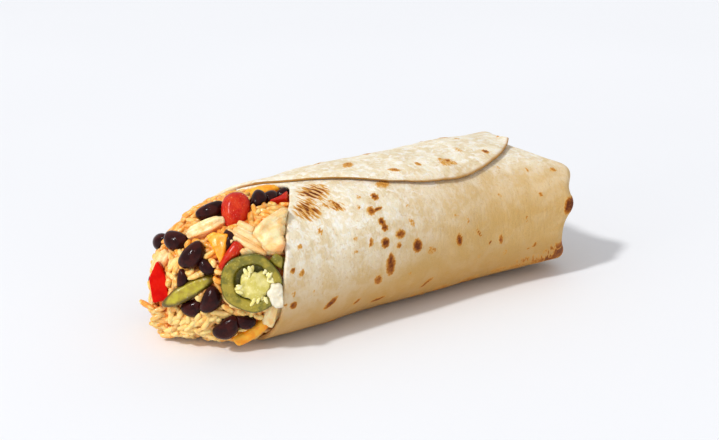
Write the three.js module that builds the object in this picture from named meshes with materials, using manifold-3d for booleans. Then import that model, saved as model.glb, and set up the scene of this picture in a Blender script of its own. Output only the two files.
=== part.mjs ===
// Burrito: a flour tortilla rolled round rice, black beans, chicken, cheese, tomato and peppers.
// One end is tucked shut, the other is open and the filling bulges out of it.
// Millimetres, +Z up. The roll lies along X with its open end towards -X, and rests on z = 0.

import * as THREE from 'three';
import { mergeVertices } from 'three/addons/utils/BufferGeometryUtils.js';
import Module from 'manifold-3d';

const wasm = await Module();
wasm.setup();
const { lerp, clamp, smoothstep: smooth, degToRad, radToDeg, euclideanModulo } = THREE.MathUtils;

// ---------------------------------------------------------------- driving dimensions

const ORIGIN_X = -4.6; // middle of the whole length, where the part's origin goes
const ORIGIN_Y = 0.8; // middle of the whole width

// The tortilla: one round sheet, rolled a turn and a third.
const SHEET = 2; // thickness
const PLY = 2.4; // growth of the roll for each turn: the sheet and a little air
const START_ANGLE = -80; // where the inner edge lies, in degrees from the top towards -Y
const FLAP_LIFT = 0.8; // how far the loose outer edge stands up
const CORNER_LIFT = 2; // and how much more at its back corner
const CORNER_X = 83; // where that corner lies
const CORNER_SIZE = 11; // how far along the edge it is felt
const EDGE_CURL = 9; // degrees of the sheet that stand up along the edge
const FLAP_SHORT = 3; // how much shorter the flap is than the rim at the tucked end
const FLAP_FLAT = [318, 352]; // angles over which its end comes out of the rim
const FLAP_BACK = [346, 363]; // and angles over which it draws back
const HALF_WIDTH = 35.9; // inner turn, half across, along the barrel
const END_WIDENING = 5; // what the tucked end adds to that
const TOP_HEIGHT = 65.1; // inner turn, height at the open end
const BARREL_DROP = 3; // what the height loses along the barrel
const END_DROP = 5; // and what it loses more at the tucked end
const END_LIFT = 3; // how far the underside rises towards that end
const LIFT_FROM = 42;
const LIFT_TO = 96;
const MOUTH_DROOP = 2.8; // and how far the top hangs down over the mouth
const BARREL_SQUARENESS = 2.3; // exponent of the rounded section
const END_SQUARENESS = 2.9;
const WIDENING_FROM = 43; // the end starts to widen here
const WIDENING_TO = 91;

// The open mouth: cut back at the top, so that the filling shows.
const MOUTH_X = -71.5;
const MOUTH_CUT = 26; // how far the rim draws back at the top
const MOUTH_SPREAD = 49; // degrees to either side over which it does

// The loose edge of the flap runs along the top towards -Y, highest in the middle.
const SEAM_X = 32;
const SEAM_ANGLE = 39.5;
const SEAM_FALL_FRONT = 13; // mm for the first degree of fall
const SEAM_FALL_BACK = 8.55;

// The tucked end.
const END_X = 89.5;
const END_LEAN = 3; // how much further its top reaches than its middle
const RIM = 5; // radius of the turned-in rim
const END_BULGES = [
  { angle: 41, width: 14, reach: 8.7 }, // shoulder
  { angle: 74, width: 15, reach: 5 }, // cheek
  { angle: 146, width: 21, reach: 11.5 }, // foot
];
const TUCK = {
  middle: new THREE.Vector3(END_X + 2, 0, 27),
  inset: 1.2, // how far its edge lies inside the rim's end
  edge: 1.5, // and how far out into the rim
  thickness: 5,
  crown: 0.4,
  hollow: { at: 0.82, width: 0.16, depth: 4.5 }, // the furrow along the rim
  belly: { width: 0.55, height: 3.5 }, // the bulge in the middle
  fold: { height: 1.6, slope: 30, middle: 25, softness: 1.5 }, // the step where one fold lies on the other
};

// The filling: a core that runs through the roll and swells out of the mouth.
const CLEARANCE = 0.9; // between the filling and the tortilla
const GAP = 0.32; // between two pieces that lie against each other
const FINEST = 0.05; // a cut's edges and steps smaller than this are evened out
const CORE_END = 84.5;
const CORE_MIDDLE = 31; // height of the line that its sections are drawn round
const FOOT_INSET = 0.3; // share of a section's inset that its underside takes
const HEAP = {
  root: -66,
  tip: -105.5,
  top: 62.6,
  tipTop: 13,
  halfWidth: 34,
  drift: 9, // how far the tip leans towards +Y
  squareness: 2.6,
  sideCurve: 1.6, // exponents of its outline seen from above and from the side
  topCurve: 0.8,
  topBluntness: 0.3,
  lift: 0.8, // how far its underside stays above the ground, more at its root and its tip
  rootLift: 1.8,
  rootLength: 0.2,
  tipLift: 6,
};

// Rice grains that show on the heap.
const GRAIN = { length: 8, width: 2.7, front: 40, back: 22, tries: 1600, rise: 0.35, air: 0.15 };

const SEED = { length: 3.4, width: 2, depth: 1.6, level: 0.5 };

// Places on the open end's plane: the tuft of grains at the far side of the heap's foot, and one
// stray grain that sticks out above it.
const TUFT = { root: -26, across: -28.4, up: -19.4, drop: 9.5, drift: 4.5, count: 6 };
const STRAY = { across: -31.8, up: -16.4, spin: -29 };

// The open end faces this way, and the pieces in it are laid out on a plane that faces so too.
const FACE_TURN = degToRad(36);
const FACE_RISE = degToRad(20);
const FACE_MIDDLE = new THREE.Vector3(-80, 0, 32);

// ---------------------------------------------------------------- solids

const WELD = 1e-4;

/** A closed geometry as a solid, turned right side out if its mapping mirrored it. */
function solidOf(geometry) {
  const bare = geometry.clone();
  bare.deleteAttribute('normal');
  bare.deleteAttribute('uv');
  const welded = mergeVertices(bare, WELD);
  const index = welded.index.array;
  const triangles = [];
  for (let i = 0; i < index.length; i += 3) {
    const [a, b, c] = [index[i], index[i + 1], index[i + 2]];
    if (a !== b && b !== c && c !== a) triangles.push(a, b, c);
  }
  const build = (order) =>
    new wasm.Manifold(
      new wasm.Mesh({
        numProp: 3,
        vertProperties: Float32Array.from(welded.attributes.position.array),
        triVerts: Uint32Array.from(order),
      }),
    );
  const solid = build(triangles);
  return solid.volume() > 0 ? solid : build(triangles.slice().reverse());
}

/** The geometry with each vertex moved to where the map puts it. */
function mapped(geometry, map) {
  const places = geometry.attributes.position;
  const point = new THREE.Vector3();
  for (let i = 0; i < places.count; i += 1) {
    point.fromBufferAttribute(places, i);
    const moved = map(point.clone());
    places.setXYZ(i, moved.x, moved.y, moved.z);
  }
  return geometry;
}

/** A solid's surface as a geometry with its own normals. */
function geometryOf(solid) {
  const mesh = solid.getMesh();
  const geometry = new THREE.BufferGeometry();
  geometry.setAttribute('position', new THREE.BufferAttribute(mesh.vertProperties, 3));
  geometry.setIndex(new THREE.BufferAttribute(mesh.triVerts, 1));
  geometry.computeVertexNormals();
  return geometry;
}

/** The solid with every face moved outward by the gap. */
function grown(solid, gap) {
  const { vertProperties, triVerts } = solid.getMesh();
  const corner = (i) => new THREE.Vector3().fromArray(vertProperties, triVerts[i] * 3);
  const faces = [];
  const sums = Array.from({ length: vertProperties.length / 3 }, () => new THREE.Vector3());
  for (let i = 0; i < triVerts.length; i += 3) {
    const face = new THREE.Triangle(corner(i), corner(i + 1), corner(i + 2));
    const normal = face.getNormal(new THREE.Vector3());
    faces.push(normal);
    const area = face.getArea();
    for (let k = 0; k < 3; k += 1) sums[triVerts[i + k]].addScaledVector(normal, area);
  }
  const reach = new Float32Array(sums.length).fill(1);
  sums.forEach((sum) => sum.normalize());
  for (let i = 0; i < triVerts.length; i += 1) {
    const at = triVerts[i];
    reach[at] = Math.min(reach[at], sums[at].dot(faces[Math.floor(i / 3)]));
  }
  const places = Float32Array.from(vertProperties);
  sums.forEach((normal, i) => {
    const step = gap / Math.max(reach[i], 0.55);
    places[i * 3] += normal.x * step;
    places[i * 3 + 1] += normal.y * step;
    places[i * 3 + 2] += normal.z * step;
  });
  return new wasm.Manifold(
    new wasm.Mesh({ numProp: 3, vertProperties: places, triVerts: Uint32Array.from(triVerts) }),
  );
}

/** The largest connected body of a solid: a cut can leave loose scraps. */
function largest(solid) {
  return solid.decompose().reduce((best, body) => (body.volume() > best.volume() ? body : best));
}

/** Two boxes, as bounding boxes of solids, that overlap. */
function near(one, other) {
  const a = one.boundingBox();
  const b = other.boundingBox();
  return [0, 1, 2].every((k) => a.min[k] < b.max[k] && b.min[k] < a.max[k]);
}

// ---------------------------------------------------------------- the roll

const bell = (distance, width) => Math.exp(-((distance / width) ** 2));

/** An angle in degrees as its distance from the top, 0 to 180, on either side. */
function fromTop(angle) {
  return Math.abs(euclideanModulo(angle + 180, 360) - 180);
}

function mouthX(angle) {
  return MOUTH_X + MOUTH_CUT * bell(fromTop(angle), MOUTH_SPREAD);
}

function endX(angle) {
  const away = fromTop(angle);
  const bulges = END_BULGES.map(({ angle: at, width, reach }) => reach * bell(away - at, width));
  return END_X + END_LEAN * Math.cos(degToRad(away)) + bulges.reduce((sum, part) => sum + part) - RIM;
}

function seamAngle(x) {
  const fall = x < SEAM_X ? SEAM_FALL_FRONT : SEAM_FALL_BACK;
  return SEAM_ANGLE - ((x - SEAM_X) / fall) ** 2;
}

/** The soft unevenness of the hand-rolled surface. */
function ripple(x, angle) {
  const turn = degToRad(angle);
  const long = 0.3 * Math.sin(x / 21 + 2 * turn);
  const short = 0.22 * Math.sin(x / 9.5 - 3 * turn + 1);
  return long + short;
}

/** A point of the roll's section at x, the section grown outward by growth. */
function sectionPoint(x, angle, growth, floor) {
  const along = clamp((x - MOUTH_X) / (WIDENING_FROM - MOUTH_X), 0, 1);
  const wide = clamp((x - WIDENING_FROM) / (WIDENING_TO - WIDENING_FROM), 0, 1) ** 1.5;
  const half = HALF_WIDTH + END_WIDENING * wide;
  const droop = MOUTH_DROOP * smooth(-x, 18, 52);
  const bottom = END_LIFT * smooth(x, LIFT_FROM, LIFT_TO);
  const top = TOP_HEIGHT - BARREL_DROP * along - END_DROP * wide - droop;
  const power = lerp(BARREL_SQUARENESS, END_SQUARENESS, wide);
  const sin = Math.sin(degToRad(angle));
  const cos = Math.cos(degToRad(angle));
  const reach = (Math.abs(sin) ** power + Math.abs(cos) ** power) ** (-1 / power);
  const more = growth + ripple(x, angle);
  const z = (top + bottom) / 2 + ((top - bottom) / 2 + more) * reach * cos;
  return new THREE.Vector3(x, -(half + more) * reach * sin, Math.max(z, bottom + floor));
}

/** How far the roll has grown at an angle, counted from its inner edge. */
function spiral(angle) {
  return (PLY * (angle - START_ANGLE)) / 360;
}

const RIM_FROM = 0.72; // share of the sheet's rows that lie along the barrel

/** A point of the sheet: u along the roll, v round it from the inner edge, w through it. */
function sheetPoint(u, v, w) {
  let x = 0;
  let angle = 0;
  let flat = 0;
  let barrel = RIM_FROM;
  for (let i = 0; i < 8; i += 1) {
    angle = lerp(START_ANGLE, 360 + seamAngle(x), v);
    flat = smooth(angle, ...FLAP_FLAT);
    barrel = lerp(RIM_FROM, 0.999, flat);
    const end = endX(angle) - FLAP_SHORT * smooth(angle, ...FLAP_BACK);
    x = lerp(mouthX(angle), end, Math.min(u / barrel, 1));
  }
  const bend = (Math.max(u - barrel, 0) / (1 - barrel)) * (1 - flat) * (Math.PI / 2);
  const loose = FLAP_LIFT + CORNER_LIFT * bell(x - CORNER_X, CORNER_SIZE);
  const lift = loose * bell(360 + seamAngle(x) - angle, EDGE_CURL);
  const growth = spiral(angle) + lift - w * SHEET;
  const rim = RIM + growth;
  const point = sectionPoint(x, angle, rim * Math.cos(bend) - RIM, w * SHEET + RIM * (1 - Math.cos(bend)));
  point.x += rim * Math.sin(bend);
  return point;
}

/** The folded-in ends of the sheet, tucked under the rim: a thick, creased lens. */
function tuckPoint(unit) {
  const across = Math.min(Math.hypot(unit.x, unit.z), 1);
  const angle = radToDeg(Math.atan2(unit.x, unit.z));
  const open = 1 - across ** 2;
  const { middle, hollow, belly, fold } = TUCK;
  const point = middle.clone().lerp(sectionPoint(END_X, angle, TUCK.edge - RIM, SHEET), across);
  const slope = degToRad(fold.slope);
  const beyond = point.y * Math.sin(slope) + (point.z - fold.middle) * Math.cos(slope);
  point.x = lerp(endX(angle) + RIM - TUCK.inset, middle.x, open);
  point.x += belly.height * bell(across, belly.width) - hollow.depth * bell(across - hollow.at, hollow.width);
  point.x += fold.height * (smooth(beyond, -fold.softness, fold.softness) - 0.5) * open;
  point.x += unit.y > 0 ? TUCK.crown * open : -TUCK.thickness * Math.sqrt(open);
  return point;
}

const ROWS = 13;
const COLUMNS = 50;
const TUCK_SIDES = 26;

function tortillaSolid() {
  const sheet = mapped(new THREE.BoxGeometry(1, 1, 1, ROWS, COLUMNS, 1), (p) =>
    sheetPoint(p.x + 0.5, p.y + 0.5, 0.5 - p.z),
  );
  const tuck = mapped(new THREE.SphereGeometry(1, TUCK_SIDES, 8), tuckPoint);
  return solidOf(sheet).add(solidOf(tuck));
}

// ---------------------------------------------------------------- the filling's core

/** The heap's section at x: its half width, top, bottom and middle. */
function heapSection(x) {
  const share = clamp((HEAP.root - x) / (HEAP.root - HEAP.tip), 0, 0.9999);
  return {
    half: HEAP.halfWidth * Math.sqrt(1 - share ** HEAP.sideCurve),
    top: HEAP.tipTop + (HEAP.top - HEAP.tipTop) * (1 - share ** HEAP.topCurve) ** HEAP.topBluntness,
    bottom: HEAP.lift + HEAP.rootLift * bell(share, HEAP.rootLength) + HEAP.tipLift * share ** 3,
    middle: HEAP.drift * share,
  };
}

/** A point of the heap's surface, with across from 0 in its middle to 1 on the surface. */
function heapPoint(x, angle, across = 1) {
  const { half, top, bottom, middle } = heapSection(x);
  const power = HEAP.squareness;
  const sin = Math.sin(degToRad(angle));
  const cos = Math.cos(degToRad(angle));
  const reach = across * (Math.abs(sin) ** power + Math.abs(cos) ** power) ** (-1 / power);
  const z = (top + bottom) / 2 + ((top - bottom) / 2) * reach * cos;
  return new THREE.Vector3(x, middle - half * reach * sin, z);
}

const SEAM_RAMP = 30; // degrees over which the core steps round the sheet's inner edge

/** A point of the core inside the roll. */
function barrelPoint(x, angle, across, inset) {
  const turn = euclideanModulo(angle - START_ANGLE, 360);
  const growth = Math.min(spiral(START_ANGLE + turn), (PLY * (360 - turn)) / SEAM_RAMP);
  const inside = growth - SHEET - CLEARANCE - inset;
  const point = sectionPoint(x, angle, inside, SHEET + CLEARANCE + inset * FOOT_INSET);
  return new THREE.Vector3(x, 0, CORE_MIDDLE).lerp(point, across);
}

const BARREL_STATIONS = [
  { x: CORE_END, inset: 11 },
  { x: CORE_END - 1.5, inset: 6 },
  { x: CORE_END - 5, inset: 2.4 },
  { x: CORE_END - 12, inset: 0.4 },
  { x: 32, inset: 0 },
  { x: -8, inset: 0 },
  { x: -40, inset: 0 },
  { x: -52, inset: 0 },
  { x: -62, inset: 0 },
];
const HEAP_SHARES = [0.12, 0.25, 0.38, 0.5, 0.62, 0.73, 0.83, 0.91, 0.965, 1];
const CORE_SIDES = 28;

function coreSolid() {
  const rows = BARREL_STATIONS.length + HEAP_SHARES.length - 1;
  const column = new THREE.CylinderGeometry(1, 1, 1, CORE_SIDES, rows);
  return solidOf(
    mapped(column, (p) => {
      const row = Math.round((p.y + 0.5) * rows);
      const angle = radToDeg(Math.atan2(p.x, p.z));
      const across = Math.min(Math.hypot(p.x, p.z), 1);
      const station = BARREL_STATIONS[row];
      if (station) return barrelPoint(station.x, angle, across, station.inset);
      const share = HEAP_SHARES[row - BARREL_STATIONS.length];
      return heapPoint(lerp(HEAP.root, HEAP.tip, share), angle, across);
    }),
  );
}

// ---------------------------------------------------------------- places on the open end

const faceOut = new THREE.Vector3(
  -Math.sin(FACE_TURN) * Math.cos(FACE_RISE),
  -Math.cos(FACE_TURN) * Math.cos(FACE_RISE),
  Math.sin(FACE_RISE),
);
const faceAcross = new THREE.Vector3(Math.cos(FACE_TURN), -Math.sin(FACE_TURN), 0);
const faceUp = faceAcross.clone().cross(faceOut).negate().normalize();

/** Less than 0 inside the filling's even outer form, and more than 0 outside it. */
function outside(point) {
  const x = Math.min(point.x, HEAP.root);
  if (x <= HEAP.tip) return 1 + HEAP.tip - x;
  const { half, top, bottom, middle } = heapSection(x);
  const side = Math.abs((point.y - middle) / half);
  const high = Math.abs((point.z - (top + bottom) / 2) / ((top - bottom) / 2));
  return side ** HEAP.squareness + high ** HEAP.squareness - 1;
}

/** The way out of the filling at a point. */
function outwardAt(point) {
  const step = 0.05;
  const slope = new THREE.Vector3();
  for (const axis of ['x', 'y', 'z']) {
    const ahead = point.clone();
    const behind = point.clone();
    ahead[axis] += step;
    behind[axis] -= step;
    slope[axis] = outside(ahead) - outside(behind);
  }
  return slope.normalize();
}

/** Where a line through the face plane, straight on to it, meets the filling or comes nearest. */
function facePoint(across, up) {
  const point = FACE_MIDDLE.clone().addScaledVector(faceAcross, across).addScaledVector(faceUp, up);
  const step = 0.25;
  point.addScaledVector(faceOut, 60);
  const nearest = point.clone();
  for (let i = 0; i < 480 && outside(nearest) > 0; i += 1) {
    point.addScaledVector(faceOut, -step);
    if (outside(point) < outside(nearest)) nearest.copy(point);
  }
  return nearest;
}

/** A frame at a point with z outward and x turned by spin degrees from level. */
function lying(at, outward, spin) {
  const turn = degToRad(spin);
  const level = new THREE.Vector3(0, 0, 1).cross(outward).normalize();
  const steep = outward.clone().cross(level);
  const x = level.multiplyScalar(Math.cos(turn)).addScaledVector(steep, Math.sin(turn));
  return new THREE.Matrix4().makeBasis(x, outward.clone().cross(x), outward).setPosition(at);
}

/**
 * The placing of a piece on the filling: its z axis leans from the filling's own outward way
 * (square 0) to straight out of the face (square 1), and its x axis turns by spin degrees from
 * across towards up. It lies with its middle rise above the filling's surface. A piece on the
 * far side, which the face plane doesn't reach, is placed by its x and its angle round the heap.
 */
function placing({ across, up, x: station, angle, spin = 0, square = 0.3, rise = 0 }) {
  const behind = angle !== undefined;
  const at = behind ? heapPoint(station, angle) : facePoint(across, up);
  const outward = outwardAt(at);
  if (behind) {
    at.addScaledVector(outward, rise);
    return lying(at, outward, spin);
  }
  const z = outward.clone().lerp(faceOut, square).normalize();
  const turn = degToRad(spin);
  const x = faceAcross.clone().multiplyScalar(Math.cos(turn)).addScaledVector(faceUp, Math.sin(turn));
  x.addScaledVector(faceOut, -x.dot(z) / faceOut.dot(z)).normalize();
  const y = z.clone().cross(x).normalize();
  at.addScaledVector(outward, rise);
  return new THREE.Matrix4().makeBasis(x, y, z).setPosition(at);
}

// ---------------------------------------------------------------- kinds of piece

/** A black bean: an egg bent towards its eye. */
function bean({ length, width }) {
  return mapped(new THREE.SphereGeometry(1, 7, 5).rotateZ(Math.PI / 2), (p) => {
    const bend = 0.16 * width * (p.x ** 2 - 0.4);
    return new THREE.Vector3((p.x * length) / 2, (p.y * width) / 2 + bend, (p.z * width * 0.92) / 2);
  });
}

/** A juicy chunk, boxier than an egg, one side of it cut flat. */
function chunk({ length, width, depth, taper = 0 }, sides = 10, rings = 6) {
  const boxy = (value) => Math.sign(value) * Math.abs(value) ** 0.75;
  return mapped(new THREE.SphereGeometry(1, sides, rings).rotateZ(Math.PI / 2), (p) => {
    const narrow = 1 + taper * p.x;
    return new THREE.Vector3(
      (boxy(p.x) * length) / 2,
      (boxy(p.y) * width * narrow) / 2,
      (Math.min(boxy(p.z), 0.8) * depth) / 2,
    );
  });
}

/** A strip, thinner towards its ends, bent by sag and twisted by twist degrees. */
function strip({ length, width, depth, sag = 0, twist = 0, steps = 6 }) {
  return mapped(new THREE.BoxGeometry(2, 1, 1, steps, 2, 1), (p) => {
    const slim = 1 - 0.45 * p.x ** 4;
    const turn = degToRad(twist * p.x);
    const y = p.y * width * slim;
    const z = p.z * depth * slim * (p.y === 0 ? 1.15 : 1);
    return new THREE.Vector3(
      (p.x * length) / 2,
      y * Math.cos(turn) - z * Math.sin(turn),
      y * Math.sin(turn) + z * Math.cos(turn) - sag * p.x ** 2,
    );
  });
}

/** A flat-cut piece with the given outline and softened edges. */
function slab({ outline, depth, bevel = 0.8 }) {
  const shape = new THREE.Shape(outline.map(([x, y]) => new THREE.Vector2(x, y)));
  const edge = { bevelThickness: bevel, bevelSize: bevel, bevelOffset: -bevel, bevelSegments: 1 };
  const options = { depth: depth - 2 * bevel, bevelEnabled: bevel > 0, ...edge };
  const geometry = new THREE.ExtrudeGeometry(shape, options);
  return geometry.translate(0, 0, bevel - depth / 2);
}

/** Cooked chicken: a torn piece with the ridges of its grain along x. */
function chicken({ length, width, depth, ridges = 3 }) {
  const across = 2 * ridges;
  return mapped(new THREE.BoxGeometry(2, 2, 2, 4, across, 1), (p) => {
    const torn = 1 - 0.28 * p.x ** 2 + 0.1 * Math.sin(5 * p.y + 2 * p.x);
    const round = Math.sqrt(1 - 0.6 * p.y ** 2) * (1 - 0.3 * p.x ** 4);
    const ridge = 1 + 0.16 * Math.cos(p.y * ridges * Math.PI) * (p.z > 0 ? 1 : 0);
    return new THREE.Vector3(
      (p.x * length * (1 - 0.12 * p.y ** 2)) / 2,
      (p.y * width * torn) / 2,
      (p.z * depth * round * ridge) / 2,
    );
  });
}

/** Pulled chicken: a few bent fibres side by side. */
function pulledChicken({ length, width, depth, fibres = 3 }) {
  const strands = [];
  for (let i = 0; i < fibres; i += 1) {
    const place = (i + 0.5) / fibres - 0.5;
    const size = { length: length * (1 - 0.35 * Math.abs(place)), width: (1.5 * width) / fibres, depth };
    const strand = strip({ ...size, sag: 0.8, twist: 12 * (i - 1), steps: 4 });
    strand.rotateZ(0.2 * place);
    strand.translate(1.6 * Math.sin(4 * i), place * width, 0.4 * Math.cos(3 * i));
    strands.push(solidOf(strand));
  }
  return wasm.Manifold.union(strands);
}

/** A jalapeno slice: the ring of its wall with the pale core and its fringe of seeds in it. */
function jalapenoRing({ radius, wall, depth, core, seeds }) {
  const inner = radius - wall;
  const half = depth / 2;
  const profile = [
    [inner + 0.8, -half],
    [radius - 0.4, -half],
    [radius, half - 0.6],
    [radius - 0.6, half],
    [inner + 0.9, half],
    [inner, 0],
    [inner + 0.8, -half],
  ];
  const points = profile.map(([r, y]) => new THREE.Vector2(r, y));
  const wallRing = new THREE.LatheGeometry(points, 16).rotateX(Math.PI / 2);
  mapped(wallRing, (p) => {
    const round = 1 + 0.035 * Math.cos(2 * Math.atan2(p.y, p.x) + 0.6);
    return new THREE.Vector3(p.x * round, p.y * round, p.z);
  });
  const heart = mapped(new THREE.SphereGeometry(1, 10, 6), (p) => {
    const lobes = 0.5 + 0.05 * Math.cos(5 * Math.atan2(p.y, p.x));
    return new THREE.Vector3(p.x * core.width * lobes, p.y * core.height * lobes, p.z * half * 0.9);
  });
  const pieces = [solidOf(wallRing), solidOf(heart.translate(core.x, core.y, 0))];
  for (let i = 0; i < seeds; i += 1) {
    const turn = (2 * Math.PI * i) / seeds;
    const seed = new THREE.SphereGeometry(1, 5, 3).scale(SEED.length / 2, SEED.width / 2, SEED.depth / 2);
    seed.rotateZ(turn);
    seed.translate(
      core.x + (core.width / 2) * Math.cos(turn),
      core.y + (core.height / 2) * Math.sin(turn),
      half * SEED.level,
    );
    pieces.push(solidOf(seed));
  }
  return largest(wasm.Manifold.union(pieces));
}

/** A pepper slice lying almost flat, so that it shows as a long wedge. */
function wedge({ length, width, depth }) {
  return mapped(new THREE.SphereGeometry(1, 12, 6).rotateZ(Math.PI / 2), (p) => {
    const thin = 1 - 0.25 * p.y;
    return new THREE.Vector3((p.x * length) / 2, (p.y * width) / 2, (Math.min(p.z, 0.72) * depth * thin) / 2);
  });
}

/** A grain of cooked long rice. */
function grain() {
  return mapped(new THREE.SphereGeometry(1, 5, 3).rotateZ(Math.PI / 2), (p) => {
    const blunt = Math.sign(p.x) * Math.abs(p.x) ** 0.8;
    const bend = 0.35 * p.x ** 2;
    const half = GRAIN.width / 2;
    return new THREE.Vector3((blunt * GRAIN.length) / 2, p.y * half + bend, p.z * half);
  });
}

// ---------------------------------------------------------------- the room each kind takes up

const EGG_ROOM = 1.17; // makes up for what a coarse egg's flat sides cut off

/** A coarse egg round an egg-shaped piece. */
function eggRoom({ length, width, depth = width }) {
  const egg = new THREE.SphereGeometry(0.5 * EGG_ROOM, 6, 4).rotateZ(Math.PI / 2);
  return egg.scale(length, width, depth);
}

/** A coarse chunk round a chunk. */
function chunkRoom(size) {
  return chunk(size, 7, 4).scale(EGG_ROOM, EGG_ROOM, EGG_ROOM);
}

/** A box round a strip or a torn piece, its corners drawn in like the piece's own. */
function boxRoom({ length, width, depth, sag = 0 }) {
  return mapped(new THREE.BoxGeometry(2, 1, 1, 2, 1, 1), (p) => {
    const slim = 1.08 - 0.2 * p.x ** 4;
    const z = p.z * depth * 1.15 * slim - sag * p.x ** 2;
    return new THREE.Vector3((p.x * length) / 2, p.y * width * slim, z);
  });
}

/** A disc round a ring and all that is in it. */
function discRoom({ radius, depth }) {
  return new THREE.CylinderGeometry(radius * 1.05, radius * 1.05, depth + 0.6, 16).rotateX(Math.PI / 2);
}

/** A box round a bundle of fibres, which lie less evenly. */
function bundleRoom({ length, width, depth }) {
  return boxRoom({ length: length * 1.1, width: width * 1.45, depth: depth * 1.5, sag: 0.8 });
}

/** The piece's own outline with sharp edges. */
function slabRoom(size) {
  return slab({ ...size, bevel: 0 }).scale(1.1, 1.1, 1.15);
}

// ---------------------------------------------------------------- the pieces in the open end

const COLOURS = {
  tortilla: 0xe9dcc0,
  rice: 0xe9b06c,
  bean: 0x2c1a22,
  tomato: 0xd8341a,
  pepper: 0xe01b10,
  cheddar: 0xf5a11e,
  chicken: 0xf2cf9c,
  jalapeno: 0x66752c,
  cheese: 0xf4ead8,
};

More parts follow.
